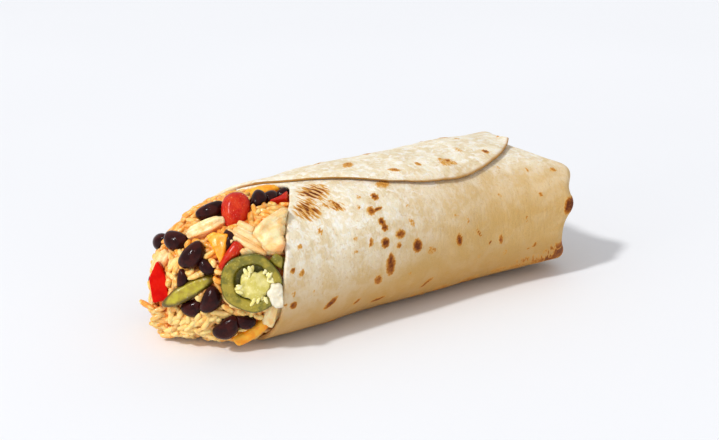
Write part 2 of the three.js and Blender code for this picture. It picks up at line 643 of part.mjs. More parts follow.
// across and up place a piece on the face plane; spin is its turn there. Earlier pieces lie on
// top of later ones, which are cut to fit round them.
const PIECES = [
  {
    name: 'white_cheese', kind: 'cheese', make: slab, room: slabRoom,
    size: { outline: [[-3.6, -1.6], [-2.4, 3.8], [3, 4], [3.4, -3.8], [0, -4.4]], depth: 4.4, bevel: 0.7 },
    place: { across: 24.2, up: -8.6, square: 0.4, rise: 2.8 },
  },
  {
    name: 'jalapeno_1', kind: 'jalapeno', make: jalapenoRing, room: discRoom,
    size: { radius: 13, wall: 4.6, depth: 5.2, core: { x: 1.9, y: -1.6, width: 15, height: 13 }, seeds: 11 },
    place: { across: 15.2, up: -5.4, spin: 0, square: 0.55, rise: 0.4 },
  },
  {
    name: 'chicken_1', kind: 'chicken', make: chicken, room: boxRoom,
    size: { length: 24, width: 19, depth: 10, ridges: 3 },
    place: { across: 27.5, up: 14.5, spin: 25, square: 0.3, rise: -0.5 },
  },
  {
    name: 'tomato_1', kind: 'tomato', make: chunk, room: chunkRoom,
    size: { length: 16.5, width: 12, depth: 9, taper: 0.12 },
    place: { across: 7.7, up: 24, spin: 82, square: 0.5, rise: 1 },
  },
  {
    name: 'bean_01', kind: 'bean', make: bean, room: eggRoom,
    size: { length: 13.5, width: 8 },
    place: { across: -3.2, up: 23.4, spin: 24, square: 0.4, rise: 2 },
  },
  {
    name: 'bean_06', kind: 'bean', make: bean, room: eggRoom,
    size: { length: 12, width: 9 },
    place: { across: -17.4, up: 11, spin: -14, square: 0.4, rise: 2.2 },
  },
  {
    name: 'bean_07', kind: 'bean', make: bean, room: eggRoom,
    size: { length: 14, width: 9.8 },
    place: { across: -9.5, up: 5, spin: 48, square: 0.4, rise: 2.4 },
  },
  {
    name: 'bean_12', kind: 'bean', make: bean, room: eggRoom,
    size: { length: 13.5, width: 9 },
    place: { across: 4, up: -24.6, spin: 36, square: 0.3, rise: 1.6 },
  },
  {
    name: 'bean_10', kind: 'bean', make: bean, room: eggRoom,
    size: { length: 13, width: 8.6 },
    place: { across: -2.2, up: -12.8, spin: 66, square: 0.4, rise: 1.6 },
  },
  {
    name: 'jalapeno_2', kind: 'jalapeno', make: wedge, room: eggRoom,
    size: { length: 27, width: 7.5, depth: 7 },
    place: { across: -12.3, up: -9.6, spin: 29, square: 0.6, rise: 0.4 },
  },
  {
    name: 'red_pepper', kind: 'pepper', make: slab, room: slabRoom,
    size: { outline: [[-0.4, 10.6], [-4.2, 2.6], [-2.2, -8.4], [4.9, -6.2], [3.4, 3]], depth: 5, bevel: 0.5 },
    place: { across: -26, up: -6.9, square: 0.85, rise: 0.4 },
  },
  {
    name: 'cheddar_3', kind: 'cheddar', make: strip, room: boxRoom,
    size: { length: 17.5, width: 5.6, depth: 4.4, sag: 1.1, twist: 12 },
    place: { across: 14, up: -27.2, spin: 32, square: 0.4, rise: 1.2 },
  },
  {
    name: 'cheddar_1', kind: 'cheddar', make: slab, room: slabRoom,
    size: { outline: [[-5.4, 5.2], [-2.2, 7.2], [4.2, 6.2], [2.2, -8.4], [-0.4, -3]], depth: 5, bevel: 0.7 },
    place: { across: 1.2, up: 8.4, square: 0.45, rise: 0.4 },
  },
  {
    name: 'chicken_2', kind: 'chicken', make: chicken, room: boxRoom,
    size: { length: 18, width: 7.6, depth: 7, ridges: 2 },
    place: { across: -5, up: 17, spin: 24, square: 0.35, rise: 0.4 },
  },
  {
    name: 'bean_02', kind: 'bean', make: bean, room: eggRoom,
    size: { length: 10.5, width: 7.4 },
    place: { across: 17, up: 28.8, spin: 78, square: 0.4, rise: 1.4 },
  },
  {
    name: 'tomato_3', kind: 'tomato', make: strip, room: boxRoom,
    size: { length: 14, width: 5.4, depth: 4.6, sag: 0.6, twist: -10 },
    place: { across: 6.6, up: 5.3, spin: 56, square: 0.5, rise: 0.8 },
  },
  {
    name: 'cheddar_2', kind: 'cheddar', make: strip, room: boxRoom,
    size: { length: 17, width: 5, depth: 4, sag: 0.5, twist: 8 },
    place: { across: 17.6, up: 33.4, spin: 14, square: 0.3, rise: 0.2 },
  },
  {
    name: 'chicken_5', kind: 'chicken', make: chicken, room: boxRoom,
    size: { length: 13, width: 9.4, depth: 7, ridges: 2 },
    place: { across: 24.4, up: -19.4, spin: 70, square: 0.2, rise: -0.2 },
  },
  {
    name: 'tomato_2', kind: 'tomato', make: slab, room: slabRoom,
    size: { outline: [[-5.4, -3.6], [4.4, 4.8], [5.4, -1]], depth: 5, bevel: 0.5 },
    place: { across: 26.6, up: 29.6, square: 0.3, rise: 0.2 },
  },
  {
    name: 'bean_14', kind: 'bean', make: bean, room: eggRoom,
    size: { length: 10, width: 7 },
    place: { across: 5.4, up: 12.2, spin: 80, square: 0.4, rise: 0.2 },
  },
  {
    name: 'chicken_3', kind: 'chicken', make: pulledChicken, room: bundleRoom,
    size: { length: 16, width: 10, depth: 4.6, fibres: 3 },
    place: { across: 15, up: 10.2, spin: -32, square: 0.4, rise: 0.5 },
  },
  {
    name: 'chicken_4', kind: 'chicken', make: chicken, room: boxRoom,
    size: { length: 12, width: 8, depth: 7, ridges: 2 },
    place: { across: -24.6, up: 2.2, spin: 62, square: 0.4, rise: 0 },
  },
  {
    name: 'bean_05', kind: 'bean', make: bean, room: eggRoom,
    size: { length: 11, width: 8 },
    place: { across: -26, up: 11.4, spin: 12, square: 0.2, rise: 0.6 },
  },
  {
    name: 'bean_08', kind: 'bean', make: bean, room: eggRoom,
    size: { length: 9, width: 6 },
    place: { across: -4, up: 1, spin: -40, square: 0.4, rise: 0.6 },
  },
  {
    name: 'bean_09', kind: 'bean', make: bean, room: eggRoom,
    size: { length: 9, width: 5 },
    place: { across: -14.8, up: -4.4, spin: 84, square: 0.4, rise: 0.6 },
  },
  {
    name: 'bean_11', kind: 'bean', make: bean, room: eggRoom,
    size: { length: 11, width: 7.6 },
    place: { across: -11, up: -18.6, spin: 18, square: 0.4, rise: 1 },
  },
  {
    name: 'bean_13', kind: 'bean', make: bean, room: eggRoom,
    size: { length: 9.5, width: 6.6 },
    place: { across: 12.2, up: -22.6, spin: -10, square: 0.3, rise: 0.6 },
  },
  {
    name: 'bean_03', kind: 'bean', make: bean, room: eggRoom,
    size: { length: 9.5, width: 7 },
    place: { across: 21.6, up: 30.4, spin: 30, square: 0.3, rise: 0.2 },
  },
  {
    name: 'bean_04', kind: 'bean', make: bean, room: eggRoom,
    size: { length: 9, width: 6.4 },
    place: { across: 28, up: 33.2, spin: 30, square: 0.3, rise: -0.6 },
  },
  {
    name: 'jalapeno_3', kind: 'jalapeno', make: strip, room: boxRoom,
    size: { length: 8, width: 5, depth: 4.4, sag: 0.4, twist: 10, steps: 3 },
    place: { across: 27.2, up: 3.4, spin: -30, square: 0.3, rise: 0.4 },
  },
  {
    name: 'chicken_6', kind: 'chicken', make: chicken, room: boxRoom,
    size: { length: 19, width: 11, depth: 7, ridges: 2 },
    place: { x: -77, angle: -94, spin: 35, rise: 0.2 },
  },
  {
    name: 'bean_15', kind: 'bean', make: bean, room: eggRoom,
    size: { length: 12.5, width: 8.2 },
    place: { x: -84, angle: -76, spin: 30, rise: 1.2 },
  },
  {
    name: 'bean_16', kind: 'bean', make: bean, room: eggRoom,
    size: { length: 12, width: 8.4 },
    place: { x: -94, angle: -104, spin: 60, rise: 1.4 },
  },
  {
    name: 'tomato_4', kind: 'tomato', make: chunk, room: chunkRoom,
    size: { length: 13, width: 10, depth: 8, taper: 0.1 },
    place: { x: -84, angle: -122, spin: 15, rise: 0.4 },
  },
  {
    name: 'cheddar_4', kind: 'cheddar', make: strip, room: boxRoom,
    size: { length: 17, width: 5, depth: 4, sag: 1.4, twist: 12 },
    place: { x: -90, angle: -60, spin: -50, rise: 0.2 },
  },
];

// ---------------------------------------------------------------- putting it together

/** Each piece in its place, cut round the tortilla and the pieces that lie on it. */
function layPieces(wrapRoom) {
  const laid = [];
  for (const piece of PIECES) {
    const matrix = placing(piece.place).elements;
    const made = piece.make(piece.size);
    const whole = (made.isBufferGeometry ? solidOf(made) : made).transform(matrix);
    const rooms = laid.map((other) => other.room).concat(wrapRoom).filter((room) => near(room, whole));
    const solid = largest(wasm.Manifold.difference([whole, ...rooms]).simplify(FINEST));
    laid.push({ ...piece, solid, room: grown(solidOf(piece.room(piece.size)), GAP).transform(matrix) });
  }
  return laid;
}

/** A grain in its place on the filling. */
function laidGrain(at, outward, spin) {
  return solidOf(grain()).transform(lying(at, outward, spin).elements);
}

/** The tuft of grains that has slid out on the far side of the heap's foot. */
function layTuft() {
  const places = [STRAY];
  for (let i = 0; i < TUFT.count; i += 1) {
    const far = i / (TUFT.count - 1);
    const across = TUFT.across + TUFT.drift * far ** 2;
    places.push({ across, up: TUFT.up - TUFT.drop * far, spin: 14 * ((i % 3) - 1) });
  }
  return places.map(({ across, up, spin }, i) => {
    const at = facePoint(TUFT.root, up);
    at.addScaledVector(faceAcross, across - TUFT.root);
    at.addScaledVector(faceOut, 2 * GRAIN.rise * (i % 2));
    return laidGrain(at, faceOut, spin);
  });
}

/** Rice grains over the heap, each clear of the pieces and the tortilla. */
function layGrains(taken) {
  const grains = layTuft();
  const left = { front: GRAIN.front, back: GRAIN.back };
  for (let i = 0; i < GRAIN.tries; i += 1) {
    const share = -0.45 + 1.42 * ((0.37 + i * 0.7548777) % 1);
    const angle = 360 * ((0.11 + i * 0.5698403) % 1);
    const x = lerp(HEAP.root, HEAP.tip, share);
    const at = x > HEAP.root ? barrelPoint(x, angle, 1, 0) : heapPoint(x, angle);
    if (x > mouthX(angle) - 1) continue;
    const outward = outwardAt(at);
    const side = outward.dot(faceOut) > 0.15 ? 'front' : 'back';
    if (left[side] === 0) continue;
    at.addScaledVector(outward, GRAIN.rise);
    const solid = laidGrain(at, outward, 137.5 * i);
    const low = solid.boundingBox().min[2];
    if (low < HEAP.lift * 0.5) continue;
    if (taken.some((room) => near(room, solid) && room.intersect(solid).volume() > 0)) continue;
    grains.push(solid);
    left[side] -= 1;
  }
  return grains;
}

function meshOf(name, kind, solid) {
  const glossy = kind === 'bean' || kind === 'tomato' || kind === 'pepper' ? 0.3 : 0.65;
  const material = new THREE.MeshStandardMaterial({ color: COLOURS[kind], roughness: glossy, metalness: 0 });
  const mesh = new THREE.Mesh(geometryOf(solid), material);
  mesh.name = name;
  return mesh;
}

const tortilla = tortillaSolid();
const wrapRoom = grown(tortilla, GAP);
const pieces = layPieces(wrapRoom);
const rooms = pieces.map((piece) => piece.room);
const core = wasm.Manifold.difference([coreSolid(), wrapRoom, ...rooms]);
const grains = layGrains([...pieces.map((piece) => grown(piece.solid, GRAIN.air)), wrapRoom]);
const filling = largest(wasm.Manifold.union([largest(core), ...grains]).simplify(FINEST));

const burrito = new THREE.Group();
burrito.add(meshOf('tortilla', 'tortilla', tortilla));
burrito.add(meshOf('rice_filling', 'rice', filling));
for (const piece of pieces) burrito.add(meshOf(piece.name, piece.kind, piece.solid));
burrito.position.set(-ORIGIN_X, -ORIGIN_Y, 0);

export default burrito;
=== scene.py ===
"""The burrito's looks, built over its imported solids.

Shapes are drawn in millimetres in the roll's own drawing frame. A Mount moves them to the row
frame, in metres, names them and fixes them to the body.
"""

import logging
import math
from collections.abc import Callable, Sequence
from dataclasses import dataclass, field
from enum import Enum

import bpy
import numpy as np
from mathutils import Matrix
from mathutils.bvhtree import BVHTree


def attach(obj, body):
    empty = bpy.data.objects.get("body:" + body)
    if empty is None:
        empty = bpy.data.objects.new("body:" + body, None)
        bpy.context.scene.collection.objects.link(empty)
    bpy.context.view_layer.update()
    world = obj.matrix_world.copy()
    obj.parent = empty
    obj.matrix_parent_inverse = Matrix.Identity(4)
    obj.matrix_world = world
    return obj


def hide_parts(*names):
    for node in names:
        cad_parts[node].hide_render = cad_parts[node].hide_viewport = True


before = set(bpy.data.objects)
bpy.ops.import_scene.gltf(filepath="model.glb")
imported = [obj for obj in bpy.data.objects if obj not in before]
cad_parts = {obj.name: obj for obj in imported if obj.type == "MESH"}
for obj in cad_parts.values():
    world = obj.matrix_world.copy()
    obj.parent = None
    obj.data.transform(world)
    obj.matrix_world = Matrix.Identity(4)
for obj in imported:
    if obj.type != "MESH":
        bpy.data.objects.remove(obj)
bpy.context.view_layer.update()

LOG = logging.getLogger("burrito")
MM = 0.001
ORIGIN = np.array([-4.6, 0.8, 0.0])
UP = np.array([0.0, 0.0, 1.0])
Array = np.ndarray
Pair = tuple[float, float]
Pairs = tuple[Pair, ...]
Triple = tuple[float, float, float]
Colour = tuple[float, float, float, float]


# ---------------------------------------------------------------- plain arithmetic


def smooth(value: Array, low: float, high: float) -> Array:
    """A soft step from 0 at low to 1 at high."""
    share = np.clip((value - low) / (high - low), 0, 1)
    return share * share * (3 - 2 * share)


def bell(distance: Array, width: float) -> Array:
    """1 at no distance, falling off over the width."""
    return np.exp(-((distance / width) ** 2))


def lerp(first: Array, second: Array, share: Array) -> Array:
    """The value a share of the way from the first to the second."""
    return first + (second - first) * share


def unit(vector: Array) -> Array:
    """The vector at length one."""
    return vector / np.maximum(np.linalg.norm(vector, axis=-1, keepdims=True), 1e-9)


def superpower(value: Array, exponent: float) -> Array:
    """The power of a value that keeps its sign."""
    return np.sign(value) * np.abs(value) ** exponent


def xyz(x: Array, y: Array, z: Array) -> Array:
    """Three numbers put side by side as points."""
    return np.stack([x, y, z], -1)


def rounded_box(angle: Array, power: Array | float) -> tuple[Array, Array, Array]:
    """The sine and the cosine of an angle, and how far a box reaches there, rounder at a low power."""
    sine, cosine = np.sin(np.radians(angle)), np.cos(np.radians(angle))
    return sine, cosine, (np.abs(sine) ** power + np.abs(cosine) ** power) ** (-1 / power)


def aslant(turn: float, rise: float) -> Array:
    """The way towards -Y, turned towards -X and raised, both by degrees."""
    turn, rise = math.radians(turn), math.radians(rise)
    flat = math.cos(rise)
    return np.array([-math.sin(turn) * flat, -math.cos(turn) * flat, math.sin(rise)])


def srgb(red: float, green: float, blue: float) -> Colour:
    """A screen colour, 0 to 255 for each channel, as the linear colour of a shader."""
    parts = (red / 255, green / 255, blue / 255)
    linear = [part / 12.92 if part <= 0.04045 else ((part + 0.055) / 1.055) ** 2.4 for part in parts]
    return (*linear, 1.0)


class Noise:
    """Smooth noise on a seeded lattice, the same on each run."""

    def __init__(self, seed: int, size: int = 32) -> None:
        """Draws the lattice from a seed, with so many cells each way before it repeats."""
        self.size = size
        self.lattice = np.random.default_rng(seed).uniform(-1, 1, (size, size, size))

    def at(self, points: Array, wavelength: float | tuple[float, ...]) -> Array:
        """The noise at some points.

        Args:
            points: Places, in millimetres.
            wavelength: Size of the noise's features, one number or one for each axis.

        Returns:
            A value from -1 to 1 for each point.
        """
        scaled = np.asarray(points, float) / wavelength
        cell = np.floor(scaled).astype(int)
        part = scaled - cell
        part = part * part * (3 - 2 * part)
        total = np.zeros(scaled.shape[:-1])
        for corner in np.ndindex(2, 2, 2):
            share = np.prod(np.where(np.array(corner) == 1, part, 1 - part), axis=-1)
            i, j, k = np.moveaxis((cell + corner) % self.size, -1, 0)
            total += share * self.lattice[i, j, k]
        return total

    def layered(self, points: Array, wavelength: float | tuple[float, ...], layers: int = 3) -> Array:
        """The noise with finer and weaker noise laid over it, each layer half the size of the one before."""
        return sum(self.at(points, np.divide(wavelength, 2**k)) / 2**k for k in range(layers))


# ---------------------------------------------------------------- meshes


@dataclass
class Form:
    """A mesh in the making: points in millimetres, faces and values kept for each point."""

    points: Array
    faces: list
    values: dict[str, Array] = field(default_factory=dict)

    def moved(self, matrix: Array) -> "Form":
        """The form with its points put through a 4 by 4 matrix."""
        return Form(self.points @ matrix[:3, :3].T + matrix[:3, 3], self.faces, self.values)

    def sorted_faces(self) -> list[Array]:
        """The triangles and the quads, as two arrays of point numbers, without an empty one."""
        sizes = ([face for face in self.faces if len(face) == size] for size in (3, 4))
        return [np.array(faces) for faces in sizes if faces]

    def normals(self) -> Array:
        """The direction straight out of the surface at each point."""
        sums = np.zeros_like(self.points)
        for faces in self.sorted_faces():
            corners = self.points[faces]
            way = np.cross(corners[:, 2] - corners[:, 0], corners[:, -1] - corners[:, 1])
            for k in range(faces.shape[1]):
                np.add.at(sums, faces[:, k], way)
        return unit(sums)

    def turned_out(self) -> "Form":
        """The form with its faces pointing out."""
        volume = 0.0
        for faces in self.sorted_faces():
            corners = self.points[faces]
            for k in range(1, faces.shape[1] - 1):
                volume += float((corners[:, 0] * np.cross(corners[:, k], corners[:, k + 1])).sum())
        if volume >= 0:
            return self
        return Form(self.points, [tuple(reversed(face)) for face in self.faces], self.values)

    def swollen(self, by: Array | float) -> "Form":
        """The form with each point moved straight out by a distance."""
        step = np.broadcast_to(by, len(self.points))[:, None]
        return Form(self.points + self.normals() * step, self.faces, self.values)


def joined(forms: Sequence[Form]) -> Form:
    """Several forms as one.

    Args:
        forms: The forms, all of which keep the same values.

    Returns:
        One form with all their points and faces.
    """
    faces, start = [], 0
    for form in forms:
        faces += [tuple(corner + start for corner in face) for face in form.faces]
        start += len(form.points)
    values = {key: np.concatenate([form.values[key] for form in forms]) for key in forms[0].values}
    return Form(np.concatenate([form.points for form in forms]), faces, values)


def ball(sides: int, rings: int) -> Form:
    """A unit ball with its poles on the x axis.

    Args:
        sides: Faces round it.
        rings: Faces from pole to pole.

    Returns:
        The ball, closed, with its faces pointing out.
    """
    lean = np.pi * np.arange(1, rings) / rings
    turn = 2 * np.pi * np.arange(sides) / sides
    lean, turn = (part.ravel() for part in np.meshgrid(lean, turn, indexing="ij"))
    middle = xyz(-np.cos(lean), np.sin(lean) * np.cos(turn), np.sin(lean) * np.sin(turn))
    points = np.concatenate([[[-1.0, 0, 0]], middle, [[1.0, 0, 0]]])
    faces = []
    last = len(points) - 1
    for side in range(sides):
        ahead = (side + 1) % sides
        faces.append((0, 1 + ahead, 1 + side))
        for ring in range(rings - 2):
            low, high = 1 + ring * sides, 1 + (ring + 1) * sides
            faces.append((low + side, low + ahead, high + ahead, high + side))
        low = 1 + (rings - 2) * sides
        faces.append((last, low + side, low + ahead))
    return Form(points, faces)


def grid_faces(rows: int, columns: int) -> Array:
    """The quads of a grid of points, row after row, as numbers of points."""
    number = np.arange(rows * columns).reshape(rows, columns)
    corners = [number[:-1, :-1], number[1:, :-1], number[1:, 1:], number[:-1, 1:]]
    return np.stack([part.ravel() for part in corners], -1)


def linked(name: str, data: bpy.types.ID, matrix: Array | None = None) -> bpy.types.Object:
    """A new object of the scene, placed by a 4 by 4 matrix if one is given."""
    made = bpy.data.objects.new(name, data)
    if matrix is not None:
        made.matrix_world = Matrix(matrix.tolist())
    bpy.context.scene.collection.objects.link(made)
    return made


class Mount:
    """Puts finished forms on the burrito's body."""

    def __init__(self, body: str = "root") -> None:
        """Notes the body that all pieces ride on."""
        self.body = body
        self.count = 0

    def place(self, name: str, form: Form, finish: bpy.types.Material, slot: str,
              nodes: Sequence[str] = ()) -> None:
        """Makes a piece of a form.

        Args:
            name: The piece's name.
            form: Its shape, in millimetres in the drawing frame.
            finish: Its material.
            slot: The record's material slot that it belongs to.
            nodes: The CAD nodes that it stands for.
        """
        mesh = bpy.data.meshes.new(name)
        mesh.from_pydata(((form.points - ORIGIN) * MM).tolist(), [], form.faces)
        mesh.polygons.foreach_set("use_smooth", [True] * len(mesh.polygons))
        for key, value in {"local": form.points, **form.values}.items():
            flat = np.asarray(value, np.float32)
            kind, member = ("FLOAT", "value") if flat.ndim == 1 else ("FLOAT_VECTOR", "vector")
            mesh.attributes.new(key, kind, "POINT").data.foreach_set(member, flat.ravel())
        mesh.materials.append(finish)
        mesh.update()
        piece = linked(name, mesh)
        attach(piece, self.body)
        if nodes:
            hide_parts(*nodes)
        self.count += 1
        LOG.info("%s: %d points, %d faces, slot %s", name, len(mesh.vertices), len(mesh.polygons), slot)


# ---------------------------------------------------------------- the roll's form


@dataclass(frozen=True)
class RollForm:
    """The shape that the sheet takes round the filling. Angles are degrees from the top towards -Y.

    lip and mouth_notch hold how far the mouth's rim stands out or back, at what angle, and how wide.
    bulges hold an angle, a width and a reach each, ripples a height, a length, waves round and a shift.
    """

    sheet: float = 2.0
    ply: float = 2.4
    start_angle: float = -80.0
    flap_lift: float = 0.5
    flap_press: float = 0.3
    press_span: Pair = (-52.0, -12.0)
    flap_thin: Pair = (0.3, 7.0)
    corner_lift: float = 2.2
    corner_x: float = 90.0
    corner_size: float = 7.5
    edge_curl: float = 9.0
    flap_flat: Pair = (318.0, 352.0)
    half_width: float = 35.9
    end_widening: float = 5.0
    top_height: float = 65.1
    barrel_drop: float = 4.4
    end_drop: float = 5.1
    end_lift: float = 3.0
    lift_span: Pair = (42.0, 96.0)
    mouth_droop: float = 2.8
    droop_span: Pair = (18.0, 52.0)
    squareness: Pair = (2.3, 2.9)
    widening: Pair = (43.0, 91.0)
    mouth_at: float = -71.5
    mouth_cut: float = 26.0
    mouth_spread: float = 49.0
    mouth_notch: Triple = (4.6, -6.0, 12.0)
    seam_x: float = 32.0
    seam_top: float = 38.8
    seam_fall: Pair = (10.4, 8.8)
    end_at: float = 89.5
    end_lean: float = 3.0
    rim: float = 5.0
    rim_from: float = 0.72
    bulges: tuple[Triple, ...] = ((41, 14, 8.3), (74, 15, 4.3), (146, 21, 11.5))
    tuck_middle: Triple = (91.5, 0.0, 27.0)
    tuck_inset: float = 1.2
    tuck_edge: float = 1.5
    tuck_thickness: float = 5.0
    tuck_crown: float = 0.4
    hollow: Triple = (0.82, 0.16, 4.5)
    belly: Pair = (0.55, 3.5)
    fold_height: float = 1.6
    fold_slope: float = 30.0
    fold_middle: float = 25.0
    fold_softness: float = 1.5
    clearance: float = 0.9
    ramp: float = 30.0
    foot_inset: float = 0.3
    slack: float = 4.0
    pull_from: float = 0.75
    rounds: int = 30
    lip: Triple = (2.0, 35.0, 25.0)
    ripples: tuple[tuple[float, ...], ...] = ((0.3, 21.0, 2.0, 0.0), (0.22, 9.5, -3.0, 1.0))
    middle_drop: float = 3.0
    held_span: Pair = (-1.6, 0.2)

    def mouth_x(self, angle: Array) -> Array:
        """Where the open end's rim lies at an angle."""
        back = [sign * reach * bell((angle - at + 180) % 360 - 180, width)
                for sign, (reach, at, width) in ((-1, self.lip), (1, self.mouth_notch))]
        return self.mouth_at + self.mouth_cut * bell(from_top(angle), self.mouth_spread) + sum(back)

    def end_x(self, angle: Array) -> Array:
        """Where the turned-in rim of the shut end starts to bend at an angle."""
        away = from_top(angle)
        bulge = sum(reach * bell(away - at, width) for at, width, reach in self.bulges)
        return self.end_at + self.end_lean * np.cos(np.radians(away)) + bulge - self.rim

    def seam_angle(self, x: Array) -> Array:
        """Where the loose edge lies at x, in degrees past the top."""
        fall = np.where(x < self.seam_x, *self.seam_fall)
        return self.seam_top - ((x - self.seam_x) / fall) ** 2

    def spiral(self, angle: Array) -> Array:
        """How far the roll has grown at an angle."""
        return self.ply * (angle - self.start_angle) / 360

    def ripple(self, x: Array, angle: Array) -> Array:
        """The soft unevenness of a hand-rolled sheet."""
        turn = np.radians(angle)
        return sum(high * np.sin(x / long + k * turn + shift) for high, long, k, shift in self.ripples)

    def section(self, x: Array, angle: Array, growth: Array, floor: Array | float) -> Array:
        """Points of the roll's section.

        Args:
            x: Places along the roll.
            angle: Places round it.
            growth: How far outward the section has grown.
            floor: How far above the section's underside it is cut flat.

        Returns:
            The points.
        """
        along = np.clip((x - self.mouth_at) / (self.widening[0] - self.mouth_at), 0, 1)
        span = self.widening[1] - self.widening[0]
        wide = np.clip((x - self.widening[0]) / span, 0, 1) ** 1.5
        half = self.half_width + self.end_widening * wide
        bottom = self.end_lift * smooth(x, *self.lift_span)
        top = self.top_height - self.barrel_drop * along - self.end_drop * wide
        top = top - self.mouth_droop * smooth(-x, *self.droop_span)
        power = lerp(*self.squareness, wide)
        sine, cosine, reach = rounded_box(angle, power)
        more = growth + self.ripple(x, angle)
        z = (top + bottom) / 2 + ((top - bottom) / 2 + more) * reach * cosine
        y = -(half + more) * reach * sine
        return xyz(x + 0 * y, y, np.maximum(z, bottom + floor))

    def spread(self, u: Array, v: Array) -> tuple[Array, Array, Array]:
        """Where a place on the sheet comes to lie.

        Args:
            u: Share of the way from the open end to the shut one.
            v: Share of the way round, from the inner edge to the loose one.

        Returns:
            Its x, its angle, and how far it has bent into the rim, in radians.
        """
        x = np.zeros_like(u)
        beyond = np.maximum(u - self.rim_from, 0) / (1 - self.rim_from)
        late = np.clip((v - self.pull_from) / (1 - self.pull_from), 0, 1)
        for _ in range(self.rounds):
            pull = self.seam_top - self.seam_angle(x)
            angle = lerp(self.start_angle, 360 + self.seam_top, v) - pull * late
            flat = smooth(angle, *self.flap_flat)
            end = self.end_x(angle) - self.slack * flat
            x = lerp(self.mouth_x(angle), end, np.minimum(u / self.rim_from, 1)) + self.slack * flat * beyond
        return x, angle, beyond * (1 - flat) * (math.pi / 2)

    def sheet_point(self, x: Array, angle: Array, bend: Array, depth: Array, relief: Array) -> Array:
        """Points of the sheet.

        Args:
            x: Places along the roll.
            angle: Places round it.
            bend: How far each has bent into the rim, in radians.
            depth: How deep it lies in the sheet, from 0 outside to 1 inside.
            relief: How far it stands out of the even sheet.

        Returns:
            The points.
        """
        loose = lerp(-self.flap_press, self.flap_lift, smooth(x, *self.press_span))
        loose = loose + self.corner_lift * bell(x - self.corner_x, self.corner_size)
        lift = loose * bell(360 + self.seam_angle(x) - angle, self.edge_curl)
        growth = self.spiral(angle) + lift - depth * self.sheet + relief
        rim = self.rim + growth
        floor = depth * self.sheet + self.rim * (1 - np.cos(bend))
        point = self.section(x, angle, rim * np.cos(bend) - self.rim, floor)
        point[..., 0] += rim * np.sin(bend)
        return point

    def inside(self, x: Array, angle: Array, inset: Array | float) -> Array:
        """Points of the room that the sheet leaves for the filling.

        Args:
            x: Places along the roll.
            angle: Places round it.
            inset: How far inside the sheet's clearance they lie.

        Returns:
            The points.
        """
        turn = (angle - self.start_angle) % 360
        growth = np.minimum(self.spiral(self.start_angle + turn), self.ply * (360 - turn) / self.ramp)
        back = self.sheet + self.clearance
        return self.section(x, angle, growth - back - inset, back + self.foot_inset * inset)

    def held_in(self, points: Array, inset: float) -> Array:
        """Points with those that lie in or beyond the sheet drawn back inside it.

        Args:
            points: The points.
            inset: How far inside the clearance they end up at least.

        Returns:
            The points.
        """
        x, high = points[:, 0], (self.top_height - self.middle_drop) / 2
        middle = np.array([0.0, high])
        angle = np.degrees(np.arctan2(-points[:, 1] / self.half_width, (points[:, 2] - high) / high))
        off, most = points[:, 1:] - middle, self.inside(x, angle, inset)[:, 1:] - middle
        share = np.minimum(np.linalg.norm(most, axis=1) / np.maximum(np.linalg.norm(off, axis=1), 1e-6), 1)
        held = middle + off * share[:, None]
        weight = smooth(x - self.mouth_x(angle), *self.held_span)[:, None]
        return np.concatenate([x[:, None], lerp(points[:, 1:], held, weight)], axis=1)

    def tuck_point(self, ball_point: Array) -> Array:
        """Points of the folded-in ends of the sheet, a creased lens under the rim.

        Args:
            ball_point: Points of a unit ball, with y out of the roll's end.

        Returns:
            The points.
        """
        across = np.minimum(np.hypot(ball_point[:, 0], ball_point[:, 2]), 1)
        angle = np.degrees(np.arctan2(ball_point[:, 0], ball_point[:, 2]))
        opening = 1 - across**2
        middle = np.array(self.tuck_middle)
        edge = self.section(np.full_like(angle, self.end_at), angle, self.tuck_edge - self.rim, self.sheet)
        point = middle + (edge - middle) * across[:, None]
        slope = math.radians(self.fold_slope)
        beyond = point[:, 1] * math.sin(slope) + (point[:, 2] - self.fold_middle) * math.cos(slope)
        x = lerp(self.end_x(angle) + self.rim - self.tuck_inset, middle[0], opening)
        at, width, depth = self.hollow
        x = x + self.belly[1] * bell(across, self.belly[0]) - depth * bell(across - at, width)
        step = smooth(beyond, -self.fold_softness, self.fold_softness) - 0.5
        x = x + self.fold_height * step * opening
        outer = ball_point[:, 1] > 0
        x = x + np.where(outer, self.tuck_crown * opening, -self.tuck_thickness * np.sqrt(opening))
        point[:, 0] = x
        return point


def from_top(angle: Array) -> Array:
    """An angle as its distance from the top, 0 to 180 degrees, on either side."""
    return np.abs((angle + 180) % 360 - 180)


# ---------------------------------------------------------------- the heap's form


